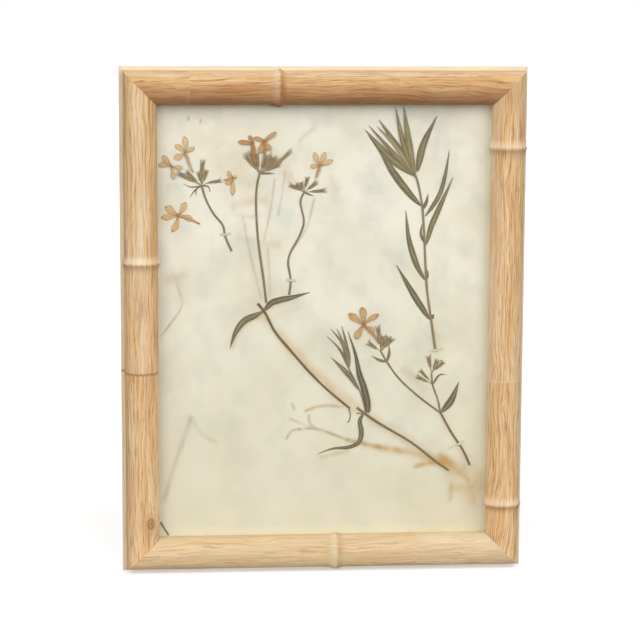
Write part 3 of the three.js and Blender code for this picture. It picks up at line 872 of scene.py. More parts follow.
@dataclass
class Petal:
    """One pressed petal: a narrow claw at the throat that opens to a round blade."""

    throat: Point
    tip: Point
    width: float
    lift: float
    tip_lift: float
    shade: float = 0.0
    claw: float = 0.3
    peak: float = 0.66
    thickness: float = 0.16
    seed: int = 0

    ROWS = 8
    CELLS = 16
    OVERLAP = 0.1
    LEAN = 0.07
    RAGGED = 0.16
    CREASE = 0.09

    def profile(self, t: np.ndarray) -> np.ndarray:
        """Give the half width along the petal."""
        opening = self.claw + (1 - self.claw) * ease(t, 0.1, self.peak + 0.1) ** 1.3
        rounding = np.clip(1 - np.clip((t - self.peak) / (1 - self.peak), 0, 1) ** 2.2 * 0.8, 0.06, 1)
        return self.width * 0.47 * opening * rounding

    def build(self) -> bpy.types.Object:
        """Model the petal.

        Returns:
            The petal's mesh object.
        """
        throat, tip = np.array(self.throat), np.array(self.tip)
        start = throat - (tip - throat) * self.OVERLAP
        draw = np.random.default_rng(self.seed)
        side_step = np.array([-(tip - throat)[1], (tip - throat)[0]]) * draw.uniform(-self.LEAN, self.LEAN)
        spine = Spine([tuple(start), tuple((throat + tip) / 2 + side_step), tuple(tip)])
        blade = add_grid(self.CELLS, self.ROWS)
        t, across = flat_spots(blade)

        def place(share: np.ndarray, side: np.ndarray) -> tuple[np.ndarray, np.ndarray]:
            """Lay the petal out from the throat."""
            half = self.profile(share) * (1 + self.RAGGED * ripple(share * 2.5, side * 0.8, self.seed))
            out = side * half
            lift = self.lift + (self.tip_lift - self.lift) * share
            crease = self.CREASE * np.abs(ripple(share * 1.5, side * 2.2, self.seed + 1))
            height = np.clip(lift + self.thickness / 2 + crease, 0, UNDER_GLASS)
            return on_sheet(spine.beside(share, out), height), np.stack([share * spine.length, out], 1)

        lay(blade, place)
        paint(
            blade,
            **toned(self.shade),
            edge=np.maximum(np.abs(across) ** 4, ease(t, 0.86, 1) * 0.8),
            heart=np.exp(-((t / 0.22) ** 2)) + 0.5 * np.exp(-((across / 0.16) ** 2)) * (1 - t),
        )
        thicken(blade, self.thickness)
        return blade


@dataclass
class Flower:
    """An open pressed flower: petals round a throat, and the tube that ran back from it."""

    centre: Point
    petals: Sequence[tuple[float, float, float]]
    tube: Sequence[Point] = ()
    tube_width: float = 2.6
    lift: float = OVER_STEM
    tip_lift: float = ON_PAPER
    shade: float = 0.0
    claw: float = 0.3
    seed: int = 0

    LAYER = 0.03

    def build(self) -> bpy.types.Object:
        """Model the flower.

        Returns:
            The flower's mesh object.
        """
        parts = []
        for number, (x, z, width) in enumerate(self.petals):
            layer = self.LAYER * number
            petal = Petal(
                self.centre, (x, z), width, self.lift + layer, self.tip_lift, self.shade, self.claw,
                seed=self.seed + 3 * number,
            )
            parts.append(petal.build())
        if self.tube:
            path = [self.centre, *self.tube]
            tube = Leaf(path, self.tube_width, 0.3, self.lift, 9, self.shade - 0.35, 0.5, seed=self.seed)
            parts.append(tube.build())
        return join(parts, "flower")


Part = Leaf | Stem | Calyx | Flower


@dataclass
class Specimen:
    """One pressed piece on the sheet, made of parts that grow together."""

    name: str
    slot: Slot
    parts: Sequence[Part]

    FINISHES = {Slot.STEM: DRIED_STEM, Slot.LEAF: PRESSED_LEAF, Slot.PETAL: DRIED_PETAL}
    CLASP = 1.5

    def build(self) -> None:
        """Model the parts, join them and dress the piece in place of its node."""
        made = []
        for number, part in enumerate(self.parts):
            part.seed = part.seed or sum(map(ord, self.name)) + 7 * number
            if self.slot is Slot.LEAF:
                part.foot = self.CLASP
            made.append(part.build())
        dress(join(made, self.name + "_pressed"), self.FINISHES[self.slot], self.name)


@dataclass
class Sprigs:
    """All the pressed plants on the sheet."""

    left_head: Point = (-107.5, 121)
    tall_head: Point = (-57, 131.5)
    curved_head: Point = (-18, 115)
    shoot_tip: Point = (22.2, -41.2)
    leafy_tip: Point = (80, 128.8)
    fork: Point = (105, -83)
    budded_head: Point = (51, -27)
    bud_node: Point = (96.5, -47)
    budded_node: Point = (56.5, -36.5)

    @staticmethod
    def cups(head: Point, tips: Iterable[tuple[float, float, float]]) -> list[Calyx]:
        """Make calyces that fan out from one point.

        Args:
            head: Where they start.
            tips: The tip and width of each.

        Returns:
            The calyces.
        """
        return [Calyx([head, (x, z)], width) for x, z, width in tips]

    def left_sprig(self) -> list[Specimen]:
        """Describe the bent sprig at the upper left, and the flower that lies loose under it."""
        head = self.left_head
        stem = [(-81.5, 63.5), (-87, 76.5), (-89, 86), (-97.5, 97), (-104, 109.5), head]
        cups = [(-130, 133.5, 3.6), (-122.5, 135, 3.2), (-110.5, 135, 3.4), (-102.5, 136.5, 3.6)]
        bracts = [
            ([head, (-102, 120.5), (-100, 116)], 1.3),
            ([head, (-113.5, 117), (-118, 110.5)], 1.2),
            ([head, (-116.5, 120), (-123, 122.5)], 1.2),
            ([head, (-112, 118), (-112.5, 113)], 1.2),
        ]
        parts = [
            Stem(stem, 1.9),
            *self.cups(head, cups),
            Calyx([head, (-107.5, 134), (-106, 145)], 3.4),
            Calyx([head, (-102, 123.5), (-88.5, 126)], 2.8),
            *[Leaf(path, width, shade=-0.3) for path, width in bracts],
        ]
        top = [(-122.5, 164, 5.5), (-130.5, 156.5, 5.5), (-113.5, 154.5, 4.8), (-131.5, 145, 6)]
        left = [(-141, 147.5, 5.5), (-144.5, 139.5, 5), (-124, 137, 4.4), (-131.5, 127, 3.8)]
        right = [(-84.5, 134, 4.4), (-77, 129, 4), (-80.5, 112.5, 5), (-86.5, 122, 5.5)]
        loose = [
            (-121.5, 106.5, 6.5), (-139.5, 102.5, 7), (-143, 93, 6), (-133.5, 80.5, 6.5), (-115, 90.5, 6),
        ]
        return [
            Specimen("left_sprig_stem", Slot.STEM, parts),
            Specimen(
                "left_sprig_flower_top", Slot.PETAL,
                [Flower((-121.5, 150), top, [(-118, 140), (-115, 133)], shade=0.25)],
            ),
            Specimen(
                "left_sprig_flower_left", Slot.PETAL,
                [Flower((-134, 138.5), left, tip_lift=OVER_STEM)],
            ),
            Specimen(
                "left_sprig_flower_right", Slot.PETAL,
                [Flower((-80.5, 127.5), right, [(-88.5, 126)], 2)],
            ),
            Specimen(
                "loose_flower", Slot.PETAL,
                [Flower((-128, 95), loose, [(-117, 91.5), (-109, 87.5)], 2.4, 0.35)],
            ),
        ]

    def tall_sprig(self) -> list[Specimen]:
        """Describe the straight sprig with the crowded head."""
        head = self.tall_head
        stem = [(-51, 17.5), (-53.5, 38.5), (-58.5, 76), (-60, 109.5), (-59, 122.5), head]
        cups = [
            (-71, 149.5, 3.6), (-66.5, 153, 3.4), (-60, 152, 3.4), (-50, 150, 3.6),
            (-44, 149, 3.8), (-40, 146, 3.4), (-37, 140.5, 3),
        ]
        parts = [
            Stem(stem, 2),
            *self.cups(head, cups),
            Calyx([head, (-38, 143), (-27, 154.5)], 3.1, shade=0.4),
            Leaf([head, (-50, 131.8), (-43.5, 131.5)], 1.8, shade=-0.3),
        ]
        left = [(-75.5, 159.5, 5), (-66, 165, 4), (-62, 148, 5)]
        right = [(-42.5, 168, 4.5), (-47, 152, 5), (-57, 149.5, 5.5), (-62, 163, 4.5)]
        return [
            Specimen("tall_sprig_stem", Slot.STEM, parts),
            Specimen(
                "tall_sprig_flower_left", Slot.PETAL,
                [
                    Flower(
                        (-63, 158), left, [(-62, 146), (-59, 136)], 2,
                        lift=0.92, tip_lift=0.92, shade=-0.75, claw=0.6,
                    ),
                ],
            ),
            Specimen(
                "tall_sprig_flower_right", Slot.PETAL,
                [
                    Flower(
                        (-53, 159.5), right, [(-52.5, 150), (-55, 138)], 2,
                        lift=1.2, tip_lift=1.2, shade=-0.5, claw=0.6,
                    ),
                ],
            ),
        ]

    def curved_sprig(self) -> list[Specimen]:
        """Describe the sinuous sprig with the fan of calyces."""
        head = self.curved_head
        stem = [(-30.8, 24.5), (-29.5, 37), (-31.5, 56.5), (-21, 78.5), (-18, 89), (-21, 107.5), head]
        cups = [
            (-32, 122.5, 3), (-26, 123.5, 3), (-21, 125, 3), (-14.5, 130, 3), (-5.5, 125, 3.4), (3, 117, 3),
        ]
        parts = [Stem(stem, 1.8), *self.cups(head, cups), Leaf([head, (-9, 111.5)], 1.6, shade=-0.2)]
        petals = [(-9, 150, 5.5), (0.5, 150, 5.5), (7.5, 143, 5), (-12.5, 137.5, 4.8)]
        return [
            Specimen("curved_sprig_stem", Slot.STEM, parts),
            Specimen(
                "curved_sprig_flower", Slot.PETAL,
                [Flower((-4, 138.5), petals, [(-7.5, 127.5)], shade=0.1)],
            ),
        ]

    def main_plant(self) -> list[Specimen]:
        """Describe the long slanting plant in the middle, in its two lengths, with the leafy side shoot."""
        upper = [(-58.5, 17), (-52, 8.5), (-43.5, -8), (-28, -27), (-12, -45.5), (3.5, -61), (23.5, -78)]
        tendril = [(22.6, -77.2), (24, -84), (23, -89.5), (21.5, -91)]
        lower = [(30, -77.5), (36.5, -82.5), (48.5, -91), (79.5, -110), (101.5, -127.5), (113, -135.5)]
        shoot = [(38, -83.2), (35.5, -72), (31.5, -60.5), (22.8, -42.6)]
        stub = [(29.5, -82.5), (36.5, -83.4)]
        left = [(-55, 9), (-62, 5.5), (-69.5, 2), (-74.5, -3), (-79.5, -12), (-83, -23)]
        right = [(-51.8, 11.4), (-46, 17.5), (-38.5, 20), (-30.5, 21.5), (-12.5, 26.5)]
        large = [(40, -81), (39, -72.5), (36, -60), (31.5, -46), (29, -32.5), (26, -22), (21.5, -9)]
        small = [(30.2, -59.6), (25, -51), (16, -41), (6.5, -32)]
        drooping = [
            (35, -84.6), (32.7, -89), (34, -101), (31.5, -109.5), (22.5, -113.5), (8.5, -114.5),
            (-4.5, -119),
        ]
        tip = self.shoot_tip
        tuft = [
            Leaf([tip, (14, -24.5), (3, -13)], 2.2, shade=-0.2),
            Leaf([tip, (16, -19), (6, -6)], 2.8),
            Leaf([tip, (18.5, -22), (11.5, -6)], 3, shade=0.15),
            Leaf([tip, (20.5, -22), (16, -4)], 3),
            Leaf([tip, (22.8, -32), (21.5, -21)], 2.6, shade=0.3),
        ]
        return [
            Specimen(
                "main_stem_upper", Slot.STEM,
                [Stem(upper, 2.2, shade=-0.8, ridge_warmth_and_highlight=0.3), Stem(tendril, 0.9, 0.6, shade=-0.5)],
            ),
            Specimen("main_leaf_left", Slot.LEAF, [Leaf(left, 5.8)]),
            Specimen("main_leaf_right", Slot.LEAF, [Leaf(right, 5.6, 0.3, shade=-0.4)]),
            Specimen(
                "main_stem_lower", Slot.STEM,
                [Stem(lower, 2.3, shade=-0.65, ridge_warmth_and_highlight=0.65), Stem(shoot, 1.2, 0.6), Stem(stub, 1, 0.6)],
            ),
            Specimen("shoot_leaf_large", Slot.LEAF, [Leaf(large, 5.8, 0.22, OVER_STEM, 0.7, -0.9)]),
            Specimen("shoot_leaf_small", Slot.LEAF, [Leaf(small, 4.2, 0.4, 0.75, 0.9)]),
            Specimen("drooping_leaf", Slot.LEAF, [Leaf(drooping, 4.3, 0.25, shade=-0.35)]),
            Specimen("shoot_tuft", Slot.LEAF, tuft),
        ]

    def leafy_shoot(self) -> list[Specimen]:
        """Describe the shoot with long leaves at the upper right."""
        stem = [
            (99.8, -27.5), (95.5, 1), (91.5, 28), (89.5, 57), (88, 84), (86, 105), (81.3, 126.4),
            (78.6, 132),
        ]
        small_leaves = [
            Leaf([(86.6, 99), (90, 106), (91.5, 113.5)], 3, shade=-0.4),
            Leaf([(88.3, 70), (85.5, 78), (86.5, 87)], 2.4, shade=-0.3),
            Leaf([(90.4, 36), (92, 41), (91.8, 46)], 2, shade=-0.3),
            Leaf([(95.3, 2), (98, 6)], 3.5, shade=-0.4),
        ]
        leaves = [
            ([(93.4, 2.5), (80.5, 22.5), (64, 50.5)], 5.6, -0.4),
            ([(88.8, 38), (82.2, 50), (75.2, 72), (71.8, 99)], 5.2, -0.05),
            ([(90.8, 69.5), (94.8, 85), (101.2, 100), (113.5, 128)], 5, 0.12),
            ([(89.8, 94.5), (95.8, 102.5), (101.6, 112.5), (106.2, 128.5), (110, 152.5)], 4, 0.1),
            ([(84.2, 103.8), (75.6, 112.8), (60.5, 132.5), (49.8, 150), (38.5, 164.5)], 6.6, 0),
            ([(82, 134), (86.5, 155.5), (98.5, 181.5)], 6.4, 0.1),
        ]
        tuft = [
            ((60, 143), (35.5, 169.5), 6.2, 0.15),
            ((62.5, 157), (47.5, 178.5), 5.2, 0.1),
            ((58, 152), (38.5, 173.5), 3.5, 0.2),
            ((61, 157), (46, 172.5), 3.5, 0.65),
            ((69, 158), (62, 189), 4.6, 0.25),
            ((74, 158), (69, 190.5), 5.6, 0.3),
        ]
        tip = self.leafy_tip
        tuft_leaves = [
            Leaf([tip, middle, end], width, 0.45, 0.3 + 0.12 * number, 3, shade)
            for number, (middle, end, width, shade) in enumerate(tuft)
        ]
        return [
            Specimen("leafy_shoot_stem", Slot.STEM, [Stem(stem, 2.1, shade=0.15), *small_leaves]),
            *[
                Specimen(f"leafy_shoot_leaf_{number}", Slot.LEAF, [Leaf(path, width, shade=shade)])
                for number, (path, width, shade) in enumerate(leaves, 1)
            ],
            Specimen("leafy_shoot_tuft", Slot.LEAF, tuft_leaves),
        ]

    def budded_sprig(self) -> list[Specimen]:
        """Describe the forked sprig with buds at the lower right, and the loose twig at the lower left."""
        head, node, fork, bud_node = self.budded_head, self.budded_node, self.fork, self.bud_node
        head_buds = [
            (47.5, -1.5, 3.6), (62.5, -14, 3.4), (52.5, -11, 3.6), (58, -12.5, 3.4), (38, -18, 3.6),
        ]
        branch_buds = [(93, -30, 3.4), (102.5, -33.5, 4), (108.5, -35.5, 3)]
        parts = [
            Stem([(132, -131), (125.5, -117), (115.5, -102), fork], 2, shade=-0.4),
            Stem([fork, (94, -75), (81, -64.5), (66.5, -50.5), node, head], 1.7),
            Stem([fork, (102, -70), (97.5, -57.5), bud_node], 1.5),
            *self.cups(head, head_buds),
            *self.cups(bud_node, branch_buds),
            Calyx([(97.3, -57), (82, -49)], 3),
            Calyx([(97.2, -56), (85, -43)], 2.6),
            Leaf([(97.4, -57.4), (104, -48.5), (110, -48.5)], 1.8, shade=-0.2),
            Leaf([node, (49, -34.5), (42.5, -30.5)], 2.4, shade=-0.2),
            Leaf([node, (58.5, -28), (58, -21)], 2.4, shade=-0.2),
        ]
        petals = [(33.5, 13, 6.6), (22, 7, 7.5), (48.5, 6.5, 5.4), (28.5, -15.5, 6.6), (45, -9.5, 6.5)]
        flower = Flower((35.5, -3), petals, [(46, -14), (49, -20)], tip_lift=OVER_STEM, shade=-0.4)
        twig = Stem([(-145, -179.5), (-142, -185), (-138.2, -191.4)], 1.5, shade=-0.3)
        return [
            Specimen("budded_sprig_stem", Slot.STEM, parts),
            Specimen("budded_sprig_flower", Slot.PETAL, [flower]),
            Specimen(
                "budded_sprig_leaf", Slot.LEAF,
                [Leaf([(106.8, -81.5), (114, -72.5), (121, -55.5)], 6.2, shade=-0.4)],
            ),
            Specimen("stem_fragment", Slot.STEM, [twig]),
        ]

    def build(self) -> None:
        """Model every pressed piece."""
        for sprig in (
            self.left_sprig(), self.tall_sprig(), self.curved_sprig(),
            self.main_plant(), self.leafy_shoot(), self.budded_sprig(),
        ):
            for specimen in sprig:
                specimen.build()


@dataclass
class Strap:
    """A paper slip that holds a stem down: flat on the sheet and bridged over the stem."""

    name: str
    start: Point
    end: Point
    crossing: float
    stem_width: float
    width: float = 2.2
    thickness: float = 0.16
    rise: float = 1.0
    slack: float = 0.4
    ramp: float = 0.9

    CELLS = 60
    ROWS = 4
    EDGE_WAVE = 0.06

    def build(self) -> None:
        """Model the slip and dress it in place of its node."""
        spine = Spine([self.start, self.end])
        slip = add_grid(self.CELLS, self.ROWS)
        t, across = flat_spots(slip)
        near = self.stem_width / 2 + self.slack

        def place(share: np.ndarray, side: np.ndarray) -> tuple[np.ndarray, np.ndarray]:
            """Lay the slip over the stem."""
            away = np.abs(share - self.crossing) * spine.length
            lift = self.rise * (1 - ease(away, near, near + self.ramp))
            half = self.width / 2 * (1 + self.EDGE_WAVE * ripple(share * 6, side * 0.3, len(self.name)))
            height = ON_PAPER + self.thickness / 2 + lift
            out = side * half
            return on_sheet(spine.beside(share, out), height), np.stack([share * spine.length, out], 1)

        lay(slip, place)
        paint(slip, edge=np.maximum(np.abs(across) ** 4, np.abs(2 * t - 1) ** 20))
        thicken(slip, self.thickness)
        dress(join([slip], self.name + "_paper"), STRAP_PAPER, self.name)


STRAPS = (
    Strap("strap_left_sprig", (-91.5, 77.8), (-82, 79), 0.44, 1.9),
    Strap("strap_curved_sprig", (-33.5, 37.8), (-24.5, 36.8), 0.45, 1.8),
    Strap("strap_leafy_shoot", (94.5, -26.8), (106.5, -25.4), 0.42, 2.1),
    Strap("strap_budded_sprig", (112, -116), (126.5, -109.4), 0.69, 2),
)


@dataclass(frozen=True)
class Print:
    """A brown or grey print that a plant has left in the paper: a line, its width and its strength."""

    path: Sequence[Point]
    width: float
    strength: float
    widens: float = 0.0


STAINS = (
    Print([(-79, 102), (-67, 106.5), (-52, 107.5)], 4.5, 0.34),
    Print([(-80, 96), (-66, 94), (-56, 95)], 2, 0.3),
    Print([(-74, 75), (-58, 70.5), (-40.5, 68.5)], 4, 0.28),
    Print([(-62, 120), (-57, 60), (-53, 15)], 15, 0.12),
    Print([(-86, 135), (-60, 142), (-30, 138)], 12, 0.13),
    Print([(-54.5, 8), (-43, -9), (-21, -35), (10.5, -66), (24, -80)], 3.2, 0.55),
    Print([(-38, -9), (-15, -36), (8, -58), (30, -76)], 3.5, 0.32),
    Print([(31, -80), (48, -93), (69, -106), (96, -126), (116, -139)], 2.6, 0.42),
    Print([(46, -86), (76, -104), (100, -123), (118, -136)], 2.6, 0.28),
    Print([(-58, 5), (-70, -1), (-77, -10), (-81, -22)], 2.6, 0.49),
    Print([(-48, 13), (-38, 17), (-25, 20)], 2.2, 0.36),
    Print([(22, -107), (51, -114), (88, -121.5), (113.5, -130)], 2.2, 0.82, 2.5),
    Print([(83.5, -131.5), (93.5, -129), (108, -128)], 2.4, 0.82),
    Print([(106, -123), (112, -127.5), (119, -133.5), (124, -138.7)], 4, 0.85),
    Print([(119, -134), (124, -139.4), (130.4, -144.8)], 2.4, 0.6),
    Print([(126, -134), (135, -136), (139, -145), (140.5, -155.5), (136, -161.5)], 7, 0.5),
    Print([(118, -152.3), (129.5, -151.8), (137, -150.9)], 4.5, 0.4),
    Print([(115.5, -149), (115.3, -153.7), (114.4, -163)], 2.2, 0.5),
    Print([(118, -142), (126, -150), (133, -163)], 9, 0.22),
    Print([(95, -185), (143, -170), (143, -140)], 22, 0.14),
    Print([(-2, -122.5), (10.5, -119.5), (22.5, -117)], 1.6, 0.56),
    Print([(-16, -80), (-6, -76.5), (3.5, -75.5), (16.5, -77)], 1.4, 0.73),
    Print([(105, -85), (116, -104), (128, -125)], 3, 0.32),
    Print([(102, -24), (97, -2)], 3, 0.19),
    Print([(-22, 160), (-16, 166), (-9, 171)], 2.4, 0.26),
    Print([(-137, 38), (-130, 41), (-124, 43)], 4.5, 0.34),
    Print([(-130, 41), (-129, 34)], 3, 0.3),
    Print([(5, 127.5), (10, 118)], 4, 0.23),
    Print([(-40, 140), (-33, 132), (-30, 122)], 7, 0.26),
    Print([(-79, 128), (-66, 124)], 7, 0.23),
)
GHOSTS = (
    Print([(-43.5, 127.5), (-47.5, 99.5), (-53, 72)], 0.9, 0.57),
    Print([(-34.5, 133), (-37, 115), (-40.5, 95)], 0.9, 0.46),
    Print([(-71.5, 93.5), (-65, 60), (-55.5, 21.5)], 1, 0.46),
    Print([(-49.5, 66), (-48.5, 44.5), (-47.5, 24)], 1, 0.42),
    Print([(-9, 109), (-16, 82.5), (-28.5, 64)], 0.9, 0.61),
    Print([(-128.5, 32), (-125, 16), (-135, 0), (-143.5, -11.5)], 0.9, 0.65),
    Print([(-21, -96.5), (-6.5, -96.5), (22, -107)], 1.1, 0.94),
    Print([(-33, -105), (-28, -98), (-21, -96.5)], 1, 0.94),
    Print([(-6.5, -96.5), (-12, -91), (-13, -84)], 1, 0.76),
    Print([(-12, -95), (-30, -87)], 0.9, 0.57),
    Print([(22, -107), (51, -114)], 1.6, 0.66),
    Print([(72.5, -43), (82, -53), (90, -61.5)], 4, 0.3),
    Print([(-117.5, -85.5), (-131, -123.5), (-142, -159.5)], 2.2, 0.42),
    Print([(-119, -84), (-108, -100), (-96, -107)], 2, 0.3),
    Print([(-118.5, 181), (-119, 178.5)], 0.8, 0.95),
    Print([(-108, 178.5), (-108.5, 175.5)], 0.8, 0.95),
    Print([(-28, -73), (-25.5, -79)], 0.9, 0.76),
)


@dataclass
class MountSheet:
    """The aged paper that carries the sprigs, a little cockled, with the prints of old pressings."""

    cell: float = 1.3
    thickness: float = 0.5
    cockle: float = 0.08
    rim: float = 9.0

    @staticmethod
    def soak(x: np.ndarray, z: np.ndarray, prints: Sequence[Print]) -> np.ndarray:
        """Work out how strongly prints show at points on the sheet.

        Args:
            x: Places across the sheet in millimetres.
            z: Places up the sheet.
            prints: The prints.

        Returns:
            A strength from 0 to 1 for each point.
        """
        blotch = 0.75 + 0.35 * ripple(x / 11, z / 11, 5) + 0.14 * ripple(x / 3.5, z / 3.5, 6)
        bare = np.ones_like(x)
        for mark in prints:
            line = Spine(mark.path).line[::3]
            nearest = np.full_like(x, 1e9)
            width = np.full_like(x, mark.width)
            for number, (one, two) in enumerate(zip(line[:-1], line[1:])):
                step = two - one
                share = ((x - one[0]) * step[0] + (z - one[1]) * step[1]) / max(float(step @ step), 1e-9)
                share = np.clip(share, 0, 1)
                gap = np.hypot(x - one[0] - share * step[0], z - one[1] - share * step[1])
                closer = gap < nearest
                nearest[closer] = gap[closer]
                width[closer] = mark.width + mark.widens * (number + share[closer]) / len(line)
            bare *= 1 - np.clip(mark.strength * blotch, 0, 1) * np.exp(-((nearest / width) ** 2))
        return 1 - bare

    def build(self) -> None:
        """Model the sheet and dress it in place of its node."""
        size = (SHEET_HIGH - SHEET_LOW) / MM
        sheet = add_grid(round(size.x / self.cell), round(size.z / self.cell))
        t, across = flat_spots(sheet)
        x = (t - 0.5) * size.x
        z = across * size.z / 2

        def place(share: np.ndarray, side: np.ndarray) -> tuple[np.ndarray, np.ndarray]:
            """Stand the grid up as the sheet's front, cockled back from it."""
            hollow = self.cockle * (0.5 + 0.5 * ripple(x / 55, z / 70, 3))
            spots = np.stack([x, z], 1)
            return on_sheet(spots, -np.clip(hollow, 0, self.cockle)), spots

        lay(sheet, place)
        # Painted light: the sheet is paled along the right and bottom sight edges only.
        from_right, from_bottom = size.x / 2 - x, z + size.z / 2
        border = np.minimum(from_right, from_bottom) - (size.x / 2 - SIGHT_HALF_WIDTH)
        paint(
            sheet,
            stain=self.soak(x, z, STAINS),
            ghost=self.soak(x, z, GHOSTS),
            # Darker towards the bottom of the sheet, with a wavy edge to the change.
            age=0.75 * ease(-z + 30 * ripple(x / 90, z / 90, 9), -130, 190),
            edge=1 - ease(border + 1.5 * ripple(x / 9, z / 9, 8), self.rim * 0.4, self.rim),
        )
        edit(sheet)
        bpy.ops.mesh.select_all(action="DESELECT")
        bpy.ops.mesh.select_non_manifold(extend=False)
        back = {"value": (0, self.thickness * MM, 0)}
        bpy.ops.mesh.extrude_region_move(TRANSFORM_OT_translate=back)
        bpy.ops.mesh.edge_face_add()
        bpy.ops.mesh.select_all(action="SELECT")
        bpy.ops.mesh.normals_make_consistent(inside=False)
        bpy.ops.object.mode_set(mode="OBJECT")
        dress(join([sheet], "mount_sheet_paper"), AGED_PAPER, "mount_sheet")


class Side(Enum):
    """A side of the frame: half its sight edge's length, its ways along and outwards, and its offset."""

    TOP = (SIGHT_HALF_WIDTH, (1, 0), (0, 1), SIGHT_HALF_HEIGHT)
    BOTTOM = (SIGHT_HALF_WIDTH, (1, 0), (0, -1), SIGHT_HALF_HEIGHT)
    LEFT = (SIGHT_HALF_HEIGHT, (0, 1), (-1, 0), SIGHT_HALF_WIDTH)
    RIGHT = (SIGHT_HALF_HEIGHT, (0, 1), (1, 0), SIGHT_HALF_WIDTH)


@dataclass(frozen=True)
class Ring:
    """A carved bamboo node: its place along the rail, its reach to both sides, and its lit side, which gets
    a painted highlight while the other side gets painted shade.
    """

    at: float
    before: float
    after: float
    # The side painted pale as lit. The other side gets painted shade.
    painted_lit_side: int


@dataclass(frozen=True)
class Knot:
    """A small knot in the wood: its place along the rail and round its girth, and its radius."""

    at: float
    girth: float
    radius: float


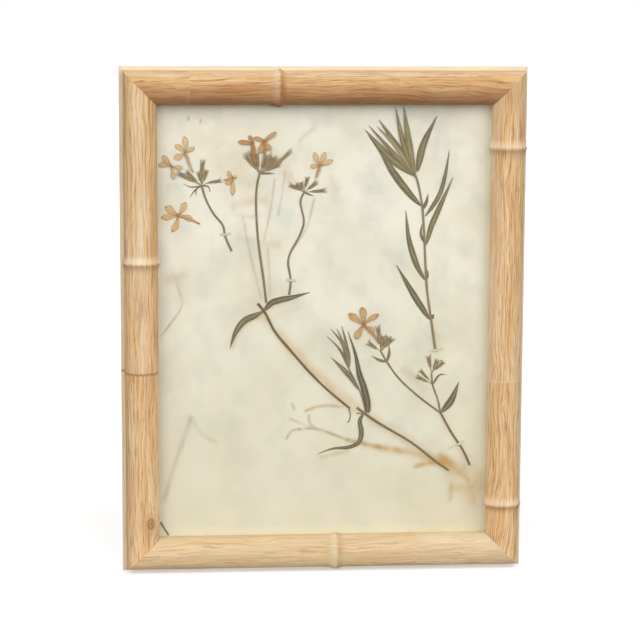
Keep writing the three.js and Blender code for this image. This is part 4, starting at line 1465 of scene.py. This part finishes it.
@dataclass
class Rail:
    """One length of the frame: a half-round carved rod on a flat base strip, mitred or butted at its ends.

    An end left None is a mitred corner. The tones are those of the inner flank, the crown and the outer
    flank: above 0 is paler and below 0 is darker, partly the wood's own tone and partly painted light and
    painted shade on flanks that face towards or away from the light. The ledge strip is painted pale as
    painted light. The butt line says how strongly a butted end is paled, or darkened below 0.
    Weathered wood has a grey lime in its grain.
    """

    name: str
    side: Side
    start: float | None
    end: float | None
    seed: int
    ring: Ring | None = None
    # Flank tones: the wood's own tone mixed with painted light and painted shade by how each flank faces
    # the light.
    tones_and_painted_light: tuple[float, float, float] = (0.0, 0.0, 0.0)
    butt_line: float = 0.3
    knot: Knot | None = None
    weathered: float = 0.0

    ROD_WIDTH = 29.5
    ROD_MIDLINE = 16.0
    ROD_RISE = 13.0
    LEDGE_WIDTH = 3.5
    LEDGE_THICKNESS = 5.0
    REBATE_WIDTH = 7.0
    REBATE_DEPTH = 13.0
    NODE_RISE = 2.3
    CHAMFER = 0.8
    SOFTENED = 0.4
    ARC_STEPS = 44
    CELL = 1.6
    GAP = 0.06
    CARVING = 0.22
    SUNK = 0.1
    GROOVE = 0.35
    # The ledge strip is painted pale: painted light where the rod shades it.
    LEDGE_PAINTED_LIGHT = 0.85
    LIME_FADES = (18, 29)
    WANDER = 3.2
    WAVER = 0.5
    KNOT_BEND = 2.5

    def outline(self) -> tuple[np.ndarray, np.ndarray]:
        """Draw the rail's section.

        Returns:
            Rows of (out from the sight edge, forward from the wall), closed, and how much of a node's swell
            each point takes, out and forward.
        """
        ledge = self.ROD_WIDTH + self.LEDGE_WIDTH
        half = self.ROD_WIDTH / 2
        turn = np.linspace(math.pi, 0, self.ARC_STEPS + 1)
        arc = np.stack([half + half * np.cos(turn), self.ROD_MIDLINE + self.ROD_RISE * np.sin(turn)], 1)
        soft = self.SOFTENED
        base = np.array([
            (self.ROD_WIDTH, self.LEDGE_THICKNESS + 4),
            (self.ROD_WIDTH, self.LEDGE_THICKNESS + soft),
            (self.ROD_WIDTH + soft, self.LEDGE_THICKNESS),
            (ledge - self.CHAMFER, self.LEDGE_THICKNESS),
            (ledge - self.CHAMFER / 3, self.LEDGE_THICKNESS - self.CHAMFER / 3),
            (ledge, self.LEDGE_THICKNESS - self.CHAMFER),
            (ledge, soft),
            (ledge - soft, 0),
            (ledge - 8, 0),
            (self.REBATE_WIDTH + soft, 0),
            (self.REBATE_WIDTH, soft),
            (self.REBATE_WIDTH, self.REBATE_DEPTH),
            (soft, self.REBATE_DEPTH),
            (0, self.REBATE_DEPTH + soft),
        ])
        points = np.vstack([arc, base, arc[:1]])
        swell = np.zeros_like(points)
        swell[:len(arc)] = np.stack([np.cos(turn), np.sin(turn)], 1)
        swell[-1] = swell[0]
        return points, swell

    def lift(self, along: np.ndarray, girth: np.ndarray) -> np.ndarray:
        """Give how far the carved rod stands proud of its plain half-round.

        Args:
            along: Places along the rail in millimetres.
            girth: Places round the section.

        Returns:
            The rise in millimetres.
        """
        proud = self.CARVING * ripple(along / 26, girth / 14, self.seed) - self.SUNK
        if self.ring is None:
            return proud
        off = along - self.ring.at - 0.5 * ripple(girth / 9, 0 * girth, self.seed + 2)
        reach = np.where(off < 0, self.ring.before, self.ring.after)
        rounded = np.sqrt(off ** 2 + 0.5 ** 2) - 0.2
        crest = self.NODE_RISE * np.clip(1 - rounded / reach, 0, 1) ** 1.5
        behind = off * -self.ring.painted_lit_side
        groove = self.GROOVE * np.exp(-(((behind - 2.2) / 1.1) ** 2))
        return proud + crest - groove

    def colours(
        self, along: np.ndarray, girth: np.ndarray, out: np.ndarray, carved: np.ndarray,
    ) -> dict[str, np.ndarray]:
        """Work out where the wood is limed, darkened or knotted, and where painted light and painted shade
        pale or darken its flanks, its ledge and the two sides of a node.

        Args:
            along: Places along the rail.
            girth: Places round the section.
            out: Distances out from the sight edge.
            carved: 1 on the round rod and 0 on the flat base.

        Returns:
            The pale, dark, heart and limed attributes.
        """
        fray = 1.2 * ripple(along / 6, girth / 1.3, self.seed + 4)
        # Painted light and painted shade: each flank is paled or darkened by how it faces the light, with
        # the wood's tone.
        tone_and_painted_light = np.interp(out, (0, self.ROD_WIDTH / 2, self.ROD_WIDTH), self.tones_and_painted_light)
        tone_and_painted_light = tone_and_painted_light + 0.16 * ripple(along / 45, girth / 9, self.seed + 6)
        # Painted light: the ledge strip is painted pale where the rod shades it.
        tone_and_painted_light = np.where(out > self.ROD_WIDTH + 0.1, self.LEDGE_PAINTED_LIGHT, tone_and_painted_light)
        pale = np.clip(tone_and_painted_light, 0, 1)
        dark = np.clip(-tone_and_painted_light, 0, 1)
        heart = np.zeros_like(along)
        limed = self.weathered * (1 + 0.4 * ripple(along / 30, girth / 8, self.seed + 8))
        limed = limed * (1 - 0.6 * ease(out, *self.LIME_FADES))
        if self.ring is not None:
            # Painted highlight on the node's lit side and painted shade past its crest on the other side.
            ahead = (along - self.ring.at) * self.ring.painted_lit_side
            pale += 0.5 * carved * ease(ahead, -0.4, 0.4) * (1 - ease(ahead + fray, 2.5, 8))
            dark += 0.5 * carved * ease(-ahead, -0.3, 0.8) * (1 - ease(-ahead + fray, 1.5, 7))
        for butt in (self.start, self.end):
            if butt is not None:
                line = np.exp(-(((along - butt) / 0.9) ** 2)) * abs(self.butt_line)
                pale += line if self.butt_line > 0 else 0
                dark += line if self.butt_line < 0 else 0
        if self.knot is not None:
            r = np.hypot((along - self.knot.at) / 1.35, girth - self.knot.girth) / self.knot.radius
            heart += np.exp(-(r ** 2)) * (0.55 + 0.45 * np.cos(r * 7)) + 0.25 * np.exp(-((r / 2) ** 2))
        return {"pale": pale, "dark": dark, "heart": heart, "limed": limed}

    def build(self) -> None:
        """Model the rail and dress it in place of its node."""
        half, run, out, offset = self.side.value
        points, swell = self.outline()
        rows = len(points) - 1
        steps = np.hypot(*np.diff(points, axis=0).T)
        around = np.concatenate([[0], np.cumsum(steps)])
        first = -half if self.start is None else self.start
        last = half if self.end is None else self.end
        rail = add_grid(max(12, round((last - first) / self.CELL)), rows)
        t, across = flat_spots(rail)
        row = np.rint((across + 1) / 2 * rows).astype(int)
        u, v = points[row].T
        girth = around[row]
        low = (first - u if self.start is None else first) + self.GAP / 2
        high = (last + u if self.end is None else last) - self.GAP / 2
        along = low + (high - low) * t
        proud = self.lift(along, around[row % rows])

        def place(share: np.ndarray, side: np.ndarray) -> tuple[np.ndarray, np.ndarray]:
            """Wrap the grid round the rail's section."""
            reach = offset + u + swell[row, 0] * proud
            front = v + swell[row, 1] * proud
            x = along * run[0] + reach * out[0] + SHEET_CENTRE.x / MM
            z = along * run[1] + reach * out[1] + SHEET_CENTRE.z / MM
            wander = self.WANDER * ripple(along / 75, girth / 22, self.seed + 1)
            grain = girth + (wander + self.WAVER * ripple(along / 16, girth / 5, self.seed))
            if self.knot is not None:
                gap = girth - self.knot.girth
                near = np.exp(-((along - self.knot.at) / 9) ** 2 - (gap / 6) ** 2)
                grain = grain - self.KNOT_BEND * np.sign(gap) * near
            skin = np.stack([along + 1000 * self.seed, grain], 1)
            return np.stack([x, -front, z], 1), skin

        lay(rail, place)
        paint(rail, **self.colours(along, girth, u, np.hypot(*swell[row].T)))
        seal(rail)
        dress(join([rail], self.name + "_oak"), OAK, self.name, 35)


TOP_JOINT = -117.5
LEFT_JOINT = -43.0
RIGHT_JOINT = -52.5
BOTTOM_JOINT = 83.0
# Each rail's tones mix the wood's own tone with painted shade on flanks turned from the light and painted
# light on flanks turned to it.
RAILS = (
    Rail("rail_top_left", Side.TOP, None, TOP_JOINT, 11, None, (-0.85, -0.55, 0.3), 0.12),
    Rail(
        "rail_top_right", Side.TOP, TOP_JOINT, None, 12, Ring(-40, 12, 6, -1), (-1, -0.6, 0.25), 0.12,
        Knot(-45, 6, 1.8),
    ),
    Rail(
        "rail_left_lower", Side.LEFT, None, LEFT_JOINT, 13, None, (0, 0, -0.05), -0.85,
        Knot(-177, 14.5, 3.6),
    ),
    Rail("rail_left_upper", Side.LEFT, LEFT_JOINT, None, 14, Ring(54, 9, 7, 1), (-0.2, 0.3, 0), -0.85),
    Rail("rail_right_lower", Side.RIGHT, None, RIGHT_JOINT, 15, Ring(-165, 6, 9, 1), (0.05, -0.06, 0.12)),
    Rail("rail_right_upper", Side.RIGHT, RIGHT_JOINT, None, 16, Ring(154, 10, 9, 1), (0.3, -0.08, 0.12)),
    Rail(
        "rail_bottom_left", Side.BOTTOM, None, BOTTOM_JOINT, 17, Ring(11.5, 10, 7, -1),
        (0.18, 0, -0.15), 0.1, weathered=0.6,
    ),
    Rail(
        "rail_bottom_right", Side.BOTTOM, BOTTOM_JOINT, None, 18, None, (0.6, 0.2, 0), 0.15,
        weathered=0.6,
    ),
)


@dataclass
class Glazing:
    """The pane, and the plain hidden and hanging parts behind it, which keep their CAD shapes."""

    board: str = "backing_board"
    pane: str = "glass_pane"
    spacers: tuple[str, ...] = ("spacer_top", "spacer_bottom", "spacer_left", "spacer_right")
    steel: tuple[str, ...] = (
        "hanger", "hanger_nail_left", "hanger_nail_right",
        *(f"retaining_point_{number}" for number in range(1, 7)),
    )

    @staticmethod
    def coat(node: str, finish: Finish | WindowGlass) -> bpy.types.Object:
        """Give a CAD node its material.

        Args:
            node: The node's name.
            finish: The material to make.

        Returns:
            The node's object.
        """
        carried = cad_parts[node]
        material = finish.make()
        for place in carried.material_slots:
            place.material = material
        LOG.info("%s: %s", node, material.name)
        return carried

    def dress(self) -> None:
        """Coat the pane, the board, the spacers and the steel parts."""
        pane = self.coat(self.pane, WindowGlass())
        pane.visible_shadow = False
        pane.visible_diffuse = False
        self.coat(self.board, HARDBOARD)
        for node in self.spacers:
            self.coat(node, CREAM_CARD)
        for node in self.steel:
            self.coat(node, ZINC_STEEL)


@dataclass
class Studio:
    """A white studio: a pale floor, paired soft lights above the viewer, one behind, and the camera."""

    eye: tuple[float, float, float] = (-0.15873, -1.98383, 0.13922)
    forward: tuple[float, float, float] = (0.07751, 0.98491, -0.15471)
    roll: float = math.radians(0.25)
    lens: float = 127.5
    sensor: float = 36.0
    keys_from: tuple[tuple[float, float, float], ...] = ((-0.52, -0.72, 0.46), (0.5, -0.73, 0.46))
    key_strength: float = 1.66
    rear_from: tuple[float, float, float] = (0.3, 0.85, 0.4)
    rear_strength: float = 1.3
    key_spread: float = math.radians(55)
    fill: float = 0.25
    bounce: float = 0.018
    bounce_size: tuple[float, float] = (0.4, 0.05)
    bounce_out: float = -0.045
    bounce_rise: float = 0.001
    backdrop: float = 1.0
    floor_size: float = 40.0
    floor_colour: str = "#F8F8F7"
    floor_glow: float = 0.38
    floor_roughness: float = 0.9

    def place_camera(self) -> None:
        """Set the camera where the picture is seen from."""
        camera = bpy.data.cameras.new("camera")
        camera.lens = self.lens
        camera.sensor_width = self.sensor
        seen = bpy.data.objects.new("camera", camera)
        bpy.context.scene.collection.objects.link(seen)
        ahead = Vector(self.forward).normalized()
        right = ahead.cross(Vector((0, 0, 1))).normalized()
        up = right.cross(ahead)
        turned = right * math.cos(self.roll) + up * math.sin(self.roll)
        upright = up * math.cos(self.roll) - right * math.sin(self.roll)
        axes = Matrix((turned, upright, -ahead)).transposed()
        seen.matrix_world = Matrix.Translation(self.eye) @ axes.to_4x4()
        bpy.context.scene.camera = seen

    @staticmethod
    def aim(light: bpy.types.Light, place: Sequence[float], source: Sequence[float]) -> None:
        """Hang a light.

        Args:
            light: The light.
            place: Where it hangs, in metres.
            source: The direction from the part that it shines from.
        """
        lamp = bpy.data.objects.new(light.name, light)
        bpy.context.scene.collection.objects.link(lamp)
        lamp.location = place
        lamp.rotation_mode = "QUATERNION"
        lamp.rotation_quaternion = Vector(source).to_track_quat("Z", "Y")
        lamp.visible_glossy = False

    def light(self) -> None:
        """Set the soft lights before and behind, the bounce off the table, the fill and the white room."""
        for number, source in enumerate(self.keys_from):
            sun = bpy.data.lights.new(f"key_{number}", "SUN")
            sun.energy = self.key_strength
            sun.angle = self.key_spread
            self.aim(sun, (0, 0, 0), source)
        rear = bpy.data.lights.new("rear", "SUN")
        rear.energy = self.rear_strength
        rear.angle = self.key_spread
        self.aim(rear, (0, 0, 0), self.rear_from)
        card = bpy.data.lights.new("bounce", "AREA")
        card.shape = "RECTANGLE"
        card.size, card.size_y = self.bounce_size
        card.energy = self.bounce
        self.aim(card, (0, self.bounce_out, CAD_BOX[0].z + self.bounce_rise), (0, 0, -1))
        world = bpy.data.worlds.new("studio")
        world.use_nodes = True
        bpy.context.scene.world = world
        tree = world.node_tree
        tree.nodes.clear()
        seen = add(tree, "LightPath", {}).outputs["Is Camera Ray"]
        fill = add(tree, "Background", {"Color": (1, 1, 1, 1), "Strength": self.fill})
        white = add(tree, "Background", {"Color": (1, 1, 1, 1), "Strength": self.backdrop})
        mixed = add(tree, "MixShader", {0: seen, 1: fill.outputs[0], 2: white.outputs[0]})
        add(tree, "OutputWorld", {"Surface": mixed.outputs[0]})
        bpy.context.scene.view_settings.view_transform = "Standard"

    def lay_floor(self) -> None:
        """Put a pale floor, lit from below like a light table, under the frame."""
        bpy.ops.object.select_all(action="DESELECT")
        lowest = (0, 0, CAD_BOX[0].z)
        bpy.ops.mesh.primitive_plane_add(size=self.floor_size, location=lowest)
        floor = bpy.context.active_object
        floor.name = "floor"
        paint_white = bpy.data.materials.new("white_floor")
        paint_white.use_nodes = True
        shader = paint_white.node_tree.nodes["Principled BSDF"]
        shader.inputs["Base Color"].default_value = linear(self.floor_colour)
        shader.inputs["Roughness"].default_value = self.floor_roughness
        shader.inputs["Emission Color"].default_value = (1, 1, 1, 1)
        shader.inputs["Emission Strength"].default_value = self.floor_glow
        floor.data.materials.append(paint_white)
        floor.visible_diffuse = False
        floor.visible_glossy = False

    def build(self) -> None:
        """Set up the camera, the light and the floor."""
        self.place_camera()
        self.light()
        self.lay_floor()


def main() -> None:
    """Build the studio, the frame, the sheet and the sprigs in order."""
    logging.basicConfig(level=logging.INFO, format="%(name)s %(message)s")
    Studio().build()
    for rail in RAILS:
        rail.build()
    Glazing().dress()
    MountSheet().build()
    Sprigs().build()
    for strap in STRAPS:
        strap.build()


if __name__ == "__main__":
    main()
